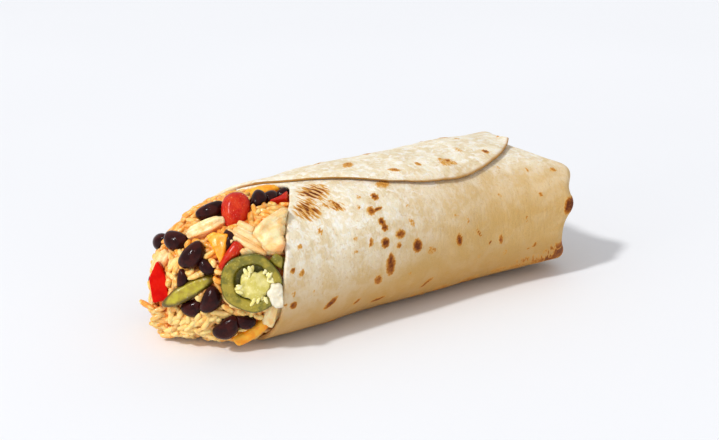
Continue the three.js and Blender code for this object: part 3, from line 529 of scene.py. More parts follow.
@dataclass(frozen=True)
class HeapForm:
    """The even outer form of the filling where it swells out of the open end."""

    root: float = -66.0
    tip: float = -105.5
    top: float = 58.8
    tip_top: float = 13.0
    half_width: float = 34.0
    drift: float = 9.0
    squareness: float = 2.6
    side_curve: float = 1.6
    top_curve: float = 1.1
    top_bluntness: float = 0.3
    lift: float = 0.8
    root_lift: float = 1.8
    root_length: float = 0.2
    tip_lift: float = 6.0

    def section(self, x: Array) -> tuple[Array, Array, Array, Array]:
        """The half width, top, underside and middle of the section at x."""
        share = np.clip((self.root - x) / (self.root - self.tip), 0, 0.9999)
        half = self.half_width * np.sqrt(1 - share**self.side_curve)
        dome = (1 - share**self.top_curve) ** self.top_bluntness
        bottom = self.lift + self.root_lift * bell(share, self.root_length) + self.tip_lift * share**3
        return half, self.tip_top + (self.top - self.tip_top) * dome, bottom, self.drift * share

    def point(self, x: Array, angle: Array, across: Array | float = 1.0) -> Array:
        """Points of the heap, on its surface where across is 1 and in its middle where it is 0."""
        half, top, bottom, middle = self.section(x)
        sine, cosine, reach = rounded_box(angle, self.squareness)
        reach = across * reach
        z = (top + bottom) / 2 + (top - bottom) / 2 * reach * cosine
        return xyz(x + 0 * z, middle - half * reach * sine, z)

    def outside(self, point: Array) -> Array:
        """Less than 0 inside the heap's even form, and more than 0 outside it."""
        x = np.minimum(point[..., 0], self.root)
        half, top, bottom, middle = self.section(np.maximum(x, self.tip))
        side = np.abs((point[..., 1] - middle) / half)
        high = np.abs((point[..., 2] - (top + bottom) / 2) / ((top - bottom) / 2))
        value = side**self.squareness + high**self.squareness - 1
        return np.where(x <= self.tip, 1 + self.tip - x, value)

    def outward(self, point: Array) -> Array:
        """The way out of the filling at a point."""
        step = 0.05 * np.eye(3)
        return unit(np.stack([self.outside(point + s) - self.outside(point - s) for s in step], -1))


@dataclass(frozen=True)
class Place:
    """Where a piece lies: across and up on the open end's plane, or x and an angle behind it.

    spin is its turn in degrees, square how far it faces straight out of the open end rather than
    out of the heap, and rise how far its middle lies above the heap's even form.
    """

    across: float = 0.0
    up: float = 0.0
    spin: float = 0.0
    square: float = 0.3
    rise: float = 0.0
    x: float | None = None
    angle: float = 0.0


@dataclass(frozen=True)
class OpenEnd:
    """The plane across the open end, on which the pieces are laid out."""

    heap: HeapForm
    turn: float = 36.0
    rise: float = 20.0
    middle: Triple = (-80.0, 0.0, 32.0)
    reach: float = 60.0
    step: float = 0.25
    steps: int = 481

    @property
    def out(self) -> Array:
        """The way that the plane faces."""
        return aslant(self.turn, self.rise)

    @property
    def across(self) -> Array:
        """The level way along the plane."""
        turn = math.radians(self.turn)
        return np.array([math.cos(turn), -math.sin(turn), 0.0])

    @property
    def up(self) -> Array:
        """The steepest way up the plane."""
        return unit(-np.cross(self.across, self.out))

    def point(self, across: float, up: float) -> Array:
        """Where a line straight on to the plane meets the heap, or comes nearest to it."""
        start = np.array(self.middle) + self.across * across + self.up * up + self.out * self.reach
        track = start - self.out * self.step * np.arange(self.steps)[:, None]
        value = self.heap.outside(track)
        inside = np.flatnonzero(value <= 0)
        return track[inside[0]] if len(inside) else track[np.argmin(value)]

    def placing(self, place: Place) -> Array:
        """The matrix that lays a piece in its place.

        Args:
            place: Where it lies.

        Returns:
            A 4 by 4 matrix, with z out of the heap and x along the piece.
        """
        if place.x is not None:
            at = self.heap.point(np.array(place.x), np.array(place.angle))
            outward = self.heap.outward(at)
            return lying(at + outward * place.rise, outward, place.spin)
        at = self.point(place.across, place.up)
        outward = self.heap.outward(at)
        z = unit(lerp(outward, self.out, place.square))
        turn = math.radians(place.spin)
        x = self.across * math.cos(turn) + self.up * math.sin(turn)
        x = unit(x - self.out * (x @ z) / (self.out @ z))
        return basis(x, unit(np.cross(z, x)), z, at + outward * place.rise)


def basis(x: Array, y: Array, z: Array, at: Array) -> Array:
    """The 4 by 4 matrix of three axes and a place."""
    matrix = np.eye(4)
    matrix[:3, 0], matrix[:3, 1], matrix[:3, 2], matrix[:3, 3] = x, y, z, at
    return matrix


def lying(at: Array, outward: Array, spin: float, tilt: float = 0.0) -> Array:
    """The matrix of a thing that lies on a surface.

    Args:
        at: Its place.
        outward: The way out of the surface.
        spin: Its turn from level, in degrees.
        tilt: How far its end stands up from the surface, in degrees.

    Returns:
        A 4 by 4 matrix, with z outward and x along the thing.
    """
    level = unit(np.cross(UP, outward))
    turn, lean = math.radians(spin), math.radians(tilt)
    x = level * math.cos(turn) + np.cross(outward, level) * math.sin(turn)
    y = np.cross(outward, x)
    x, z = x * math.cos(lean) + outward * math.sin(lean), outward * math.cos(lean) - x * math.sin(lean)
    return basis(x, y, z, at)


# ---------------------------------------------------------------- shader trees

Socket = bpy.types.NodeSocket
NUMBER, VECTOR, COLOUR = "NodeSocketFloat", "NodeSocketVector", "NodeSocketColor"


class Tree:
    """A shader node tree and short ways to fill it."""

    def __init__(self, tree: bpy.types.NodeTree) -> None:
        """Keeps the tree."""
        self.tree = tree

    def feed(self, node: bpy.types.Node, feeds: dict) -> None:
        """Gives a node's inputs, by name or number, an output to link or a value."""
        for key, value in feeds.items():
            if isinstance(value, Socket):
                self.tree.links.new(value, node.inputs[key])
            else:
                node.inputs[key].default_value = value

    def node(self, kind: str, feeds: dict | None = None, **settings: object) -> bpy.types.Node:
        """Adds a node.

        Args:
            kind: Its type.
            feeds: What its inputs get, by name or number: an output to link, or a value.
            **settings: The node's own settings.

        Returns:
            The node.
        """
        node = self.tree.nodes.new(kind)
        for key, value in settings.items():
            setattr(node, key, value)
        self.feed(node, feeds or {})
        return node

    def math(self, operation: str, first: Socket | float, second: Socket | float = 0.0,
             clamp: bool = False) -> Socket:
        """The result of a sum on two numbers."""
        feeds = {0: first, 1: second}
        return self.node("ShaderNodeMath", feeds, operation=operation, use_clamp=clamp).outputs[0]

    def add(self, value: Socket, extra: Socket, share: Socket | float, clamp: bool = False) -> Socket:
        """A value and a share of another one."""
        return self.math("ADD", value, self.math("MULTIPLY", extra, share), clamp)

    def mix(self, share: Socket | float, first: Socket | Colour, second: Socket | Colour,
            blend: str = "MIX") -> Socket:
        """The colour a share of the way from the first to the second."""
        feeds = {0: share, 6: first, 7: second}
        return self.node("ShaderNodeMix", feeds, data_type="RGBA", blend_type=blend).outputs[2]

    def noise(self, vector: Socket, scale: float = 1.0, detail: Socket | float = 2.0,
              distortion: Socket | float = 0.0) -> Socket:
        """Blender's own noise, about 0.5, with features 1 / scale across."""
        feeds = {"Vector": vector, "Scale": scale, "Detail": detail, "Distortion": distortion}
        return self.node("ShaderNodeTexNoise", feeds).outputs[0]

    def step(self, value: Socket, low: Socket | float, high: Socket | float) -> Socket:
        """A soft step from 0 at low to 1 at high."""
        feeds = {"Value": value, "From Min": low, "From Max": high}
        return self.node("ShaderNodeMapRange", feeds, interpolation_type="SMOOTHSTEP").outputs[0]

    def span(self, value: Socket, low: Socket | float, high: Socket | float) -> Socket:
        """A value from 0 to 1 spread from low to high."""
        return self.node("ShaderNodeMapRange", {"Value": value, "To Min": low, "To Max": high}).outputs[0]

    def ramp(self, value: Socket, stops: Sequence[tuple[float, Colour]]) -> Socket:
        """The colours of several stops along a value from 0 to 1."""
        node = self.node("ShaderNodeValToRGB", {0: value})
        elements = node.color_ramp.elements
        while len(elements) < len(stops):
            elements.new(1.0)
        for element, (at, colour) in zip(elements, stops):
            element.position, element.color = at, colour
        return node.outputs[0]

    def kept(self, name: str, output: str = "Fac") -> Socket:
        """A number, or with the output Vector a place, that is kept for each point of the mesh."""
        return self.node("ShaderNodeAttribute", attribute_name=name).outputs[output]

    def scaled(self, vector: Socket, size: Socket) -> Socket:
        """A place divided by a size."""
        feeds = {0: vector, "Scale": self.math("DIVIDE", 1.0, size)}
        return self.node("ShaderNodeVectorMath", feeds, operation="SCALE").outputs[0]

    def bump(self, height: Socket, depth: float) -> Socket:
        """The way out of the surface where it has bumps of a depth in millimetres."""
        return self.node("ShaderNodeBump", {"Height": height, "Distance": depth * MM}).outputs[0]

    def effect(self, group: bpy.types.NodeTree, vector: Socket, **feeds: object) -> Socket:
        """What comes out of a node group that gets a place and its own values."""
        return self.node("ShaderNodeGroup", {"Vector": vector, **feeds}, node_tree=group).outputs[0]


class Effects:
    """The effects that several finishes share, each a node group built once."""

    pool_edge: Pair = (0.38, 0.66)
    film_edge: Pair = (0.35, 0.7)
    fine_scale: float = 4.7

    def __init__(self) -> None:
        """Builds the groups."""
        self.mottle = self._group("mottle", self._mottle, Size=4.0, Low=0.45, High=0.6, Detail=3.0, Warp=0.0)
        self.sauce = self._group("sauce", self._sauce, COLOUR,
                                 Colour=COLOUR, Sauce=COLOUR, Amount=0.5, Size=5.0)
        self.relief = self._group("relief", self._relief, Size=1.0, Fine=0.3)
        self.wetness = self._group("wetness", self._wetness, Size=2.0, Wet=0.15, Dry=0.4)
        self.fibres = self._group("fibres", self._fibres, Length=9.0, Width=0.7)

    @staticmethod
    def _group(name: str, fill: Callable, result: str = NUMBER, **inputs: float | str) -> bpy.types.NodeTree:
        """Builds a group that takes a place and some more inputs.

        Args:
            name: Its name.
            fill: What adds its nodes, from its tree and its inputs, and returns the output.
            result: The type of what comes out.
            **inputs: For each further input the number it has if nothing feeds it, or its type.

        Returns:
            The group.
        """
        group = bpy.data.node_groups.new(name, "ShaderNodeTree")
        for key, value in {"Vector": VECTOR, **inputs}.items():
            kind = value if isinstance(value, str) else NUMBER
            socket = group.interface.new_socket(name=key, in_out="INPUT", socket_type=kind)
            if kind == NUMBER:
                socket.default_value = value
        group.interface.new_socket(name="Result", in_out="OUTPUT", socket_type=result)
        tree = Tree(group)
        made = fill(tree, tree.node("NodeGroupInput").outputs)
        tree.node("NodeGroupOutput", {0: made})
        return group

    @staticmethod
    def _mottle(tree: Tree, given: dict[str, Socket]) -> Socket:
        """Soft-edged blotches: a mask that is 1 in them."""
        places = tree.scaled(given["Vector"], given["Size"])
        return tree.step(tree.noise(places, 1.0, given["Detail"], given["Warp"]), given["Low"], given["High"])

    @staticmethod
    def _sauce(tree: Tree, given: dict[str, Socket]) -> Socket:
        """A thin film of sauce that gathers in uneven patches over a colour."""
        places = tree.scaled(given["Vector"], given["Size"])
        pool = tree.step(tree.noise(places, 1.0, 4.0, 0.6), *Effects.pool_edge)
        share = tree.math("MULTIPLY", pool, given["Amount"], clamp=True)
        filmed = tree.mix(1.0, given["Colour"], given["Sauce"], "MULTIPLY")
        return tree.mix(share, given["Colour"], filmed)

    @staticmethod
    def _relief(tree: Tree, given: dict[str, Socket]) -> Socket:
        """Low bumps with finer ones on them: a height from 0 to about 1."""
        places = tree.scaled(given["Vector"], given["Size"])
        return tree.add(tree.noise(places), tree.noise(places, Effects.fine_scale), given["Fine"])

    @staticmethod
    def _wetness(tree: Tree, given: dict[str, Socket]) -> Socket:
        """A film of juice that is smooth where it lies thick: a roughness."""
        places = tree.scaled(given["Vector"], given["Size"])
        film = tree.step(tree.noise(places, 1.0, 3.0), *Effects.film_edge)
        return tree.span(film, given["Wet"], given["Dry"])

    @staticmethod
    def _fibres(tree: Tree, given: dict[str, Socket]) -> Socket:
        """Fibres that run along a piece's x axis: a height from 0 to about 1."""
        long, wide = (tree.math("DIVIDE", 1.0, given[key]) for key in ("Length", "Width"))
        scale = tree.node("ShaderNodeCombineXYZ", {0: long, 1: wide, 2: wide}).outputs[0]
        feeds = {0: given["Vector"], 1: scale}
        places = tree.node("ShaderNodeVectorMath", feeds, operation="MULTIPLY").outputs[0]
        return tree.noise(places, 1.0, 3.0, 0.4)


def surface(name: str) -> tuple[bpy.types.Material, Tree, bpy.types.Node]:
    """Starts a material: the material, its tree and its shader."""
    material = bpy.data.materials.new(name)
    material.use_nodes = True
    material.node_tree.nodes.clear()
    tree = Tree(material.node_tree)
    shader = tree.node("ShaderNodeBsdfPrincipled")
    tree.node("ShaderNodeOutputMaterial", {0: shader.outputs[0]})
    return material, tree, shader


def gloss(coat: float, coat_rough: float, soft: float, bleed: tuple[float, ...], shine: float) -> dict:
    """The shader's inputs for a clear film, for light that bleeds by some millimetres, and for shine."""
    return {"Coat Weight": coat, "Coat Roughness": coat_rough, "Subsurface Weight": soft,
            "Subsurface Radius": bleed, "Subsurface Scale": MM, "Specular IOR Level": shine}


@dataclass(frozen=True)
class FoodFinish:
    """The finish of a cut or cooked piece.

    Its colour goes over to a second one in blotches, and to the skin's colour where the form
    says that the skin shows. Small flecks, a film of sauce, fibres and bumps lie over that.
    """

    name: str
    colour: Colour
    second: Colour
    skin: Colour
    fleck: Colour
    sauce: Colour = (1.0, 1.0, 1.0, 1.0)
    sauce_amount: float = 0.0
    blotch: float = 4.0
    blotch_edge: Pair = (0.4, 0.62)
    tint_share: float = 0.6
    fleck_size: float = 0.9
    fleck_from: float = 0.6
    fleck_edge: float = 0.08
    fleck_share: float = 0.6
    wet: float = 0.18
    dry: float = 0.45
    coat: float = 0.3
    coat_rough: float = 0.12
    soft: float = 0.15
    bleed: Triple = (1.5, 0.8, 0.4)
    bump_size: float = 0.8
    bump: float = 0.1
    fibre: float = 0.0
    shine: float = 0.5

    def build(self, effects: Effects) -> bpy.types.Material:
        """Makes the material."""
        material, tree, shader = surface(self.name)
        place = tree.kept("local", "Vector")
        low, high = self.blotch_edge
        blotch = tree.effect(effects.mottle, place, Size=self.blotch, Low=low, High=high)
        tone = tree.add(blotch, tree.kept("tint"), self.tint_share, clamp=True)
        colour = tree.mix(tone, self.colour, self.second)
        colour = tree.mix(tree.kept("skin"), colour, self.skin)
        fleck = tree.effect(effects.mottle, place, Size=self.fleck_size, Low=self.fleck_from,
                            High=self.fleck_from + self.fleck_edge)
        colour = tree.mix(tree.math("MULTIPLY", fleck, self.fleck_share), colour, self.fleck)
        if self.sauce_amount:
            film = {"Colour": colour, "Sauce": self.sauce, "Amount": self.sauce_amount}
            colour = tree.effect(effects.sauce, place, **film)
        height = tree.effect(effects.relief, place, Size=self.bump_size)
        if self.fibre:
            height = tree.add(height, tree.effect(effects.fibres, place), self.fibre)
        rough = tree.effect(effects.wetness, place, Wet=self.wet, Dry=self.dry)
        tree.feed(shader, {"Base Color": colour, "Roughness": rough, "Normal": tree.bump(height, self.bump)})
        tree.feed(shader, gloss(self.coat, self.coat_rough, self.soft, self.bleed, self.shine))
        return material


@dataclass(frozen=True)
class TortillaFinish:
    """The dry, floury finish of the sheet, with its toasted spots, and painted shade in its tan and its crust
    colour.
    """

    cream: Colour = srgb(243, 231, 203)
    flour: Colour = srgb(251, 247, 236)
    shade: Colour = srgb(230, 210, 170)
    # The tan colour is partly painted shade towards the underside and the shut end.
    tan_and_shade_colour: Colour = srgb(210, 170, 104)
    freckle: Colour = srgb(206, 164, 104)
    halo: Colour = srgb(220, 162, 74)
    toast: Colour = srgb(176, 102, 26)
    char: Colour = srgb(104, 46, 10)
    # The crust colour is partly a toasted edge and partly painted shade under the flap's edge, on the
    # underside and inside.
    crust_and_shade_colour: Colour = srgb(184, 132, 60)
    rough: Pair = (0.62, 0.86)
    soft: float = 0.12
    bleed: Triple = (2.0, 1.3, 0.7)
    shine: float = 0.25
    bump: float = 0.35
    specks: float = 0.4
    spared: float = -0.12
    grooves: float = 0.7
    ragged: Pair = (-0.36, 0.34)
    spot_edge: Pair = (0.02, 0.3)
    streak_lean: float = 70.0
    streak_stretch: float = 4.5
    streak_edge: Pair = (0.43, 0.6)
    streak_least: float = 0.27
    toast_from: Pair = (0.1, 0.24)
    toast_to: Pair = (0.34, 0.48)
    stops: tuple[float, ...] = (0.0, 0.34, 0.62, 0.95)

    def build(self, effects: Effects) -> bpy.types.Material:
        """Makes the material."""
        material, tree, shader = surface("tortilla_finish")
        place, sheet = tree.kept("local", "Vector"), tree.kept("sheet", "Vector")
        body = tree.effect(effects.mottle, place, Size=8.5, Low=0.36, High=0.64, Detail=4.0, Warp=0.5)
        colour = tree.mix(body, self.shade, self.cream)
        dust = tree.effect(effects.mottle, place, Size=3.1, Low=0.44, High=0.66, Detail=5.0, Warp=0.8)
        colour = tree.mix(tree.math("MULTIPLY", dust, tree.kept("dusted")), colour, self.flour)
        # Tan, partly painted shade towards the underside and the shut end.
        colour = tree.mix(tree.add(tree.kept("tan_and_shade"), body, self.spared, clamp=True), colour, self.tan_and_shade_colour)
        # Crust colour, partly painted shade under the flap's edge, on the underside and on the inner face.
        colour = tree.mix(tree.kept("crust_and_shade"), colour, self.crust_and_shade_colour)
        speck = tree.effect(effects.mottle, place, Size=1.5, Low=0.6, High=0.72)
        colour = tree.mix(tree.math("MULTIPLY", speck, self.specks), colour, self.freckle)
        colour = self._toasted(tree, place, sheet, colour)
        rough = tree.effect(effects.wetness, place, Size=3.0, Wet=self.rough[0], Dry=self.rough[1])
        grain = tree.effect(effects.relief, place, Size=1.7, Fine=0.5)
        height = tree.add(grain, tree.effect(effects.fibres, sheet, Length=1.6, Width=9.0), self.grooves)
        tree.feed(shader, {"Base Color": colour, "Roughness": rough, "Normal": tree.bump(height, self.bump)})
        tree.feed(shader, gloss(0.0, 0.3, self.soft, self.bleed, self.shine))
        return material

    def _toasted(self, tree: Tree, place: Socket, sheet: Socket, colour: Socket) -> Socket:
        """Lays the toasted spots and the seared streaks over a colour.

        Args:
            tree: The material's tree.
            place: The mesh's own places.
            sheet: The places on the flat sheet.
            colour: The colour under the toast.

        Returns:
            The colour with the toast.
        """
        ragged = tree.span(tree.noise(place, 1.0, 3.0), *self.ragged)
        spot = tree.kept("toast")
        spot = tree.add(spot, ragged, tree.step(spot, *self.spot_edge))
        lean, stretch = math.radians(self.streak_lean), self.streak_stretch
        along = {"Vector": sheet, "Rotation": (0.0, 0.0, lean), "Scale": (stretch, 1.0, 1.0)}
        leaning = tree.node("ShaderNodeMapping", along, vector_type="TEXTURE").outputs[0]
        streak = tree.step(tree.noise(leaning, 0.8, 3.0, 0.4), *self.streak_edge)
        seared = tree.math("MULTIPLY", tree.kept("sear"), tree.span(streak, self.streak_least, 1.0))
        toast = tree.math("MAXIMUM", spot, seared)
        # The tan and its painted shade also set where the toast starts to show.
        tan_and_shade = tree.kept("tan_and_shade")
        share = tree.step(toast, tree.span(tan_and_shade, *self.toast_from), tree.span(tan_and_shade, *self.toast_to))
        stops = zip(self.stops, (self.halo, self.halo, self.toast, self.char))
        return tree.mix(share, colour, tree.ramp(toast, list(stops)))


# ---------------------------------------------------------------- the tortilla


@dataclass(frozen=True)
class Spot:
    """A toasted spot on the sheet: its middle, its two sizes, its lean in degrees and its depth."""

    x: float
    angle: float
    long: float
    wide: float
    lean: float = 0.0
    dark: float = 0.7


SPOTS = tuple(Spot(*row) for row in (
    (-12.5, 38.5, 3.7, 3.3, 70, 1.0), (-18.5, 49, 4.1, 4.2, 0, 0.8), (-14.5, 48.5, 4.3, 1.6, 2, 1.0),
    (-15.5, 58.5, 3.6, 3.2, 74, 1.0), (-14.8, 63, 3.4, 3.2, 74, 1.0), (-16, 74.5, 4.5, 4.4, 0, 1.0),
    (-13.5, 93.5, 10.4, 5.2, 90, 0.85), (-13.5, 88, 5, 2.4, 90, 1.0), (-23.5, 71.5, 4.4, 2.1, 100, 0.7),
    (-31, 65.5, 3, 2.6, 0, 0.35), (-32, 75, 3.1, 2.7, 0, 0.35), (-7, 70.5, 5.6, 4, 0, 0.8),
    (-8.5, 79, 3.2, 2.9, 0, 0.7), (2, 83, 6.3, 5.2, 81, 1.0), (1, 64, 5.5, 3.3, 70, 0.4),
    (1, 51.5, 1.6, 1.6, 0, 0.6), (-20, 103.5, 4.8, 5.3, 0, 0.7), (-2, 105.5, 3.4, 2.8, 0, 0.4),
    (-20.5, 36, 2.9, 3.3, 0, 0.35), (-23.5, 44, 2.5, 2.2, 0, 0.5), (-47, 52, 4, 2, 82, 0.55),
    (-59.5, 60, 2.9, 2.3, 0, 0.5), (-65.5, 76, 2.6, 2.1, 0, 0.9), (-61, 79.5, 4.3, 2.6, -58, 0.6),
    (-66, 94.5, 3.3, 1.6, 90, 0.6), (-66, 104, 3.8, 3.7, 0, 0.9), (-70, 102.5, 2.1, 2.1, 0, 0.6),
    (-55, 97, 3.3, 2.4, 0, 0.35), (-45.5, 111.5, 8.4, 3.4, -38, 0.9), (-29.5, 119.5, 5.2, 2.6, -40, 0.7),
    (-16.5, 125.5, 9.6, 3, -14, 0.8), (10, 121.5, 8.2, 2.4, -46, 0.8), (13, 119, 4, 2, -50, 0.6),
    (-4, 29, 8.2, 5.2, 0, 0.45), (-9.5, 359, 8.8, 5, -44, 0.5), (5.5, 381, 6, 2.7, 30, 0.6),
    (20, 379.5, 2.5, 4.1, 0, 0.6), (35.5, 383, 10.3, 8.6, 0, 0.36), (36.5, 381, 2.4, 2.2, 0, 0.9),
    (32, 384.5, 2.4, 1.8, 0, 0.6), (39, 386, 2.2, 1.6, 0, 0.6), (34, 378, 2, 1.6, 0, 0.55),
    (50, 369, 3.5, 6.8, 0, 0.3), (61.5, 377.5, 3.2, 3.7, 0, 0.9), (26.5, 87, 6.5, 3.5, 83, 0.95),
    (38, 85, 6.1, 2.2, 63, 0.7), (44.5, 95.5, 2.7, 1.4, 80, 1.0), (51, 95.5, 5.8, 2.8, 86, 0.72),
    (32, 72.5, 3.4, 1.7, 75, 0.6), (26, 66.5, 4, 2.8, 0, 0.35), (10.5, 90, 6.7, 5.3, 0, 0.45),
    (41, 51.5, 2.8, 3.2, 0, 0.35), (53.5, 57.5, 4.1, 2.4, 71, 0.4), (61.5, 33.5, 2.6, 3.2, 0, 0.35),
    (75, 39.5, 1.6, 2.3, 0, 0.6), (75.5, 62, 2.3, 1.7, 0, 0.9), (88.5, 42, 3.7, 3, 0, 0.6),
    (66, 81.5, 4.6, 1.3, 86, 0.6), (89, 74.5, 9.8, 3.8, -76, 0.95), (71, 108, 3.4, 2, -56, 0.8),
    (67.5, 110, 2.6, 1.6, 0, 0.7), (54.5, 109, 4.8, 3.2, -70, 0.42), (39, 106.5, 4.4, 3.6, 0, 0.35),
    (87, 126, 7, 13, 0, 0.8), (78, 130, 14, 7, 4, 0.56), (66, 131, 14, 6, 0, 0.5), (56, 131, 12, 7, 0, 0.46),
    (40, 136, 16, 9, 0, 0.48), (24, 137, 14, 9, 0, 0.48), (9, 137, 12, 7, 0, 0.42),
    (54, 166.5, 7.6, 7, 0, 0.7),
))
SEARS = (Spot(-37.5, 17.5, 13, 15, 60), Spot(-47, 33, 11.5, 11.5, 35), Spot(-34, 36, 10.5, 4.6, 42),
         Spot(84, 125, 15, 17, 0, 0.62), Spot(70, 127, 20, 11, 0, 0.42))
CREASES = (((-19.5, 361.5), (-3, 378.5)), ((52, 376), (66, 368)), ((60, 45), (78, 52)))


@dataclass
class Tortilla:
    """The sheet rolled round the filling, and the fold that shuts its end.

    mouth_wear and seam_wear hold how far an edge is drawn in and out, in what size of waves, and how
    far from the edge that is felt. waves, tuck_waves and wrinkle hold heights, each before its sizes.
    low_tan_and_shade, end_tan_and_shade, end_bare and flour hold shares, each before the span over which it
    sets in. The tan is partly painted shade on the underside and the shut end.
    """

    roll: RollForm
    finish: bpy.types.Material
    rows: tuple[int, int] = (132, 38)
    columns: tuple[int, int] = (24, 186)
    hidden_share: float = 0.2
    length: float = 205.0
    turn_length: float = 286.0
    rim_length: float = 28.6
    edge: tuple[float, ...] = (0.0, 0.12, 0.35, 0.7, 1.1, 1.7)
    rounding: float = 0.7
    mouth_wear: Triple = (0.45, 4.0, 5.0)
    seam_wear: Triple = (0.7, 9.0, 4.0)
    waves: Pairs = ((0.30, 17.0), (0.14, 6.5))
    wrinkle: Triple = (0.13, 3.6, 40.0)
    blister: float = 0.25
    crease: Pair = (0.4, 0.9)
    arc_span: tuple[float, float, int] = (-90.0, 410.0, 501)
    # Crust colour along the loose edge, partly toasted and partly painted shade under it, and painted shade
    # on the underside.
    edge_crust_and_shade: tuple[float, float, Pair] = (0.15, 2.3, (-15.0, 80.0))
    underside_shade: tuple[float, Pair] = (0.6, (92.0, 132.0))
    extra_spots: int = 60
    spot_edge: Pair = (0.35, 1.55)
    sear_most: float = 0.7
    spot_seed: int = 11
    spot_x: Pair = (-66.0, 92.0)
    spot_angles: Pairs = ((132.0, 178.0), (205.0, 350.0))
    through: tuple[tuple[str, float], ...] = (("toast", 0.35), ("sear", 0.2))
    # Tan towards the underside and the shut end, partly painted shade.
    low_tan_and_shade: Triple = (0.9, 45.0, 128.0)
    end_tan_and_shade: tuple[float, Pair, Pair] = (0.75, (-45.0, 60.0), (15.0, 52.0))
    end_bare: tuple[float, Pair, Pair] = (0.55, (-20.0, 80.0), (20.0, 60.0))
    flour: tuple[float, float, Pair] = (0.3, 0.5, (15.0, 55.0))
    tuck_mesh: tuple[int, int] = (112, 56)
    tuck_waves: Pairs = ((0.5, 11.0), (0.25, 4.5))
    tuck_spots: tuple[float, float, Pair] = (0.75, 7.5, (0.42, 0.85))
    tuck_high: float = 30.0
    noise: Noise = field(default_factory=lambda: Noise(7))

    def arc(self, angle: Array | float) -> Array:
        """How far along the flat sheet an angle lies, in millimetres."""
        turn = np.linspace(*self.arc_span)
        points = self.roll.section(np.zeros_like(turn), turn, self.roll.spiral(turn), 0.0)
        steps = np.linalg.norm(np.diff(points, axis=0), axis=1)
        return np.interp(angle, turn, np.concatenate([[0], np.cumsum(steps)]))

    def shares(self) -> tuple[Array, Array]:
        """The places of the mesh's rows and columns on the sheet, closer together at its edges."""
        edge = np.array(self.edge)
        start = edge / self.length
        barrel = np.linspace(start[-1], self.roll.rim_from, self.rows[0])[1:]
        back = 1 - edge[::-1] / self.rim_length
        rim = np.linspace(self.roll.rim_from, back[0], self.rows[1])[1:]
        u = np.concatenate([start, barrel, rim, back[1:]])
        side = edge / self.turn_length
        hidden = np.linspace(side[-1], self.hidden_share, self.columns[0])[1:]
        shown = np.linspace(self.hidden_share, 1 - side[-1], self.columns[1])[1:]
        return u, np.concatenate([side, hidden, shown, 1 - side[-2::-1]])

    def toasted(self, x: Array, angle: Array, spots: Sequence[Spot]) -> Array:
        """How toasted the sheet is.

        Args:
            x: Places along the roll.
            angle: Places round it.
            spots: The spots.

        Returns:
            From 0 where it is pale to 1 in the darkest spots.
        """
        arc = self.arc(angle)
        most = np.zeros_like(x)
        for spot in spots:
            sine, cosine = math.sin(math.radians(spot.lean)), math.cos(math.radians(spot.lean))
            along, down = x - spot.x, arc - self.arc(spot.angle)
            first = (along * cosine + down * sine) * 2 / spot.long
            second = (down * cosine - along * sine) * 2 / spot.wide
            most = np.maximum(most, spot.dark * (1 - smooth(np.hypot(first, second), *self.spot_edge)))
        return most

    def spots(self) -> list[Spot]:
        """The spots that show, and more of their kind where the roll turns away."""
        chance = np.random.default_rng(self.spot_seed)
        more = []
        for _ in range(self.extra_spots):
            x = chance.uniform(*self.spot_x)
            angle = chance.choice([chance.uniform(*span) for span in self.spot_angles])
            long, share = chance.uniform(2, 7.5), chance.uniform(0.5, 1)
            more.append(Spot(x, angle, long, long * share, chance.uniform(-90, 90), chance.uniform(0.35, 1)))
        return [*SPOTS, *more]

    def creased(self, x: Array, angle: Array) -> Array:
        """How deep the creases are at places on the sheet, in millimetres."""
        depth, width = self.crease
        arc, most = self.arc(angle), np.zeros_like(x)
        for (x0, a0), (x1, a1) in CREASES:
            start, end = np.array([x0, self.arc(a0)]), np.array([x1, self.arc(a1)])
            way = end - start
            off = np.stack([x, arc], -1) - start
            share = np.clip(off @ way / (way @ way), 0, 1)
            away = np.linalg.norm(off - share[..., None] * way, axis=-1)
            most = np.maximum(most, bell(away, width))
        return depth * most

    def relief(self, base: Array, x: Array, angle: Array, v: Array, spots: Array) -> Array:
        """How far the sheet stands out of its even form.

        Args:
            base: The points of the even form.
            x: Places along the roll.
            angle: Places round it.
            v: Share of the way from the inner edge to the loose one.
            spots: How toasted the sheet is there.

        Returns:
            A height in millimetres for each point.
        """
        even = sum(high * self.noise.at(base, size) for high, size in self.waves)
        high, fine, long = self.wrinkle
        relief = even + high * self.noise.at(base + 9, (fine, long, long))
        relief = relief + self.blister * smooth(spots, 0.1, 0.5) - self.creased(x, angle)
        return relief * smooth(v, -0.02, 0.05)

    def sheet(self) -> Form:
        """The rolled sheet, a closed skin with rounded edges."""
        u, v = np.meshgrid(*self.shares(), indexing="ij")
        x, angle, bend = self.roll.spread(u, v)
        base = self.roll.sheet_point(x, angle, bend, np.zeros_like(x), np.zeros_like(x))
        layers = xyz(x, self.arc(angle), 0 * x)
        pull, size, reach = self.mouth_wear
        x = x + self.noise.layered(layers + 50, size) * pull * (1 - smooth(u * self.length, 0, reach))
        pull, size, reach = self.seam_wear
        wear = self.noise.layered(layers * [1, 0, 1] + 20, size) * pull
        angle = angle + wear * smooth(v, 1 - reach / self.turn_length, 1)
        spots = self.toasted(x, angle, self.spots())
        relief = self.relief(base, x, angle, v, spots)
        side = (1 - v) * self.turn_length
        from_edge = np.minimum(np.minimum(u * self.length, (1 - u) * self.rim_length),
                               np.minimum(v, 1 - v) * self.turn_length)
        rounding = 0.5 * (1 - np.sqrt(1 - (1 - np.clip(from_edge / self.rounding, 0, 1)) ** 2))
        share, reach = self.roll.flap_thin
        thin = share * (1 - smooth(side, 0, reach))
        outer = self.roll.sheet_point(x, angle, bend, np.minimum(rounding + thin, 1 - rounding), relief)
        inner = self.roll.sheet_point(x, angle, bend, 1 - rounding, relief)
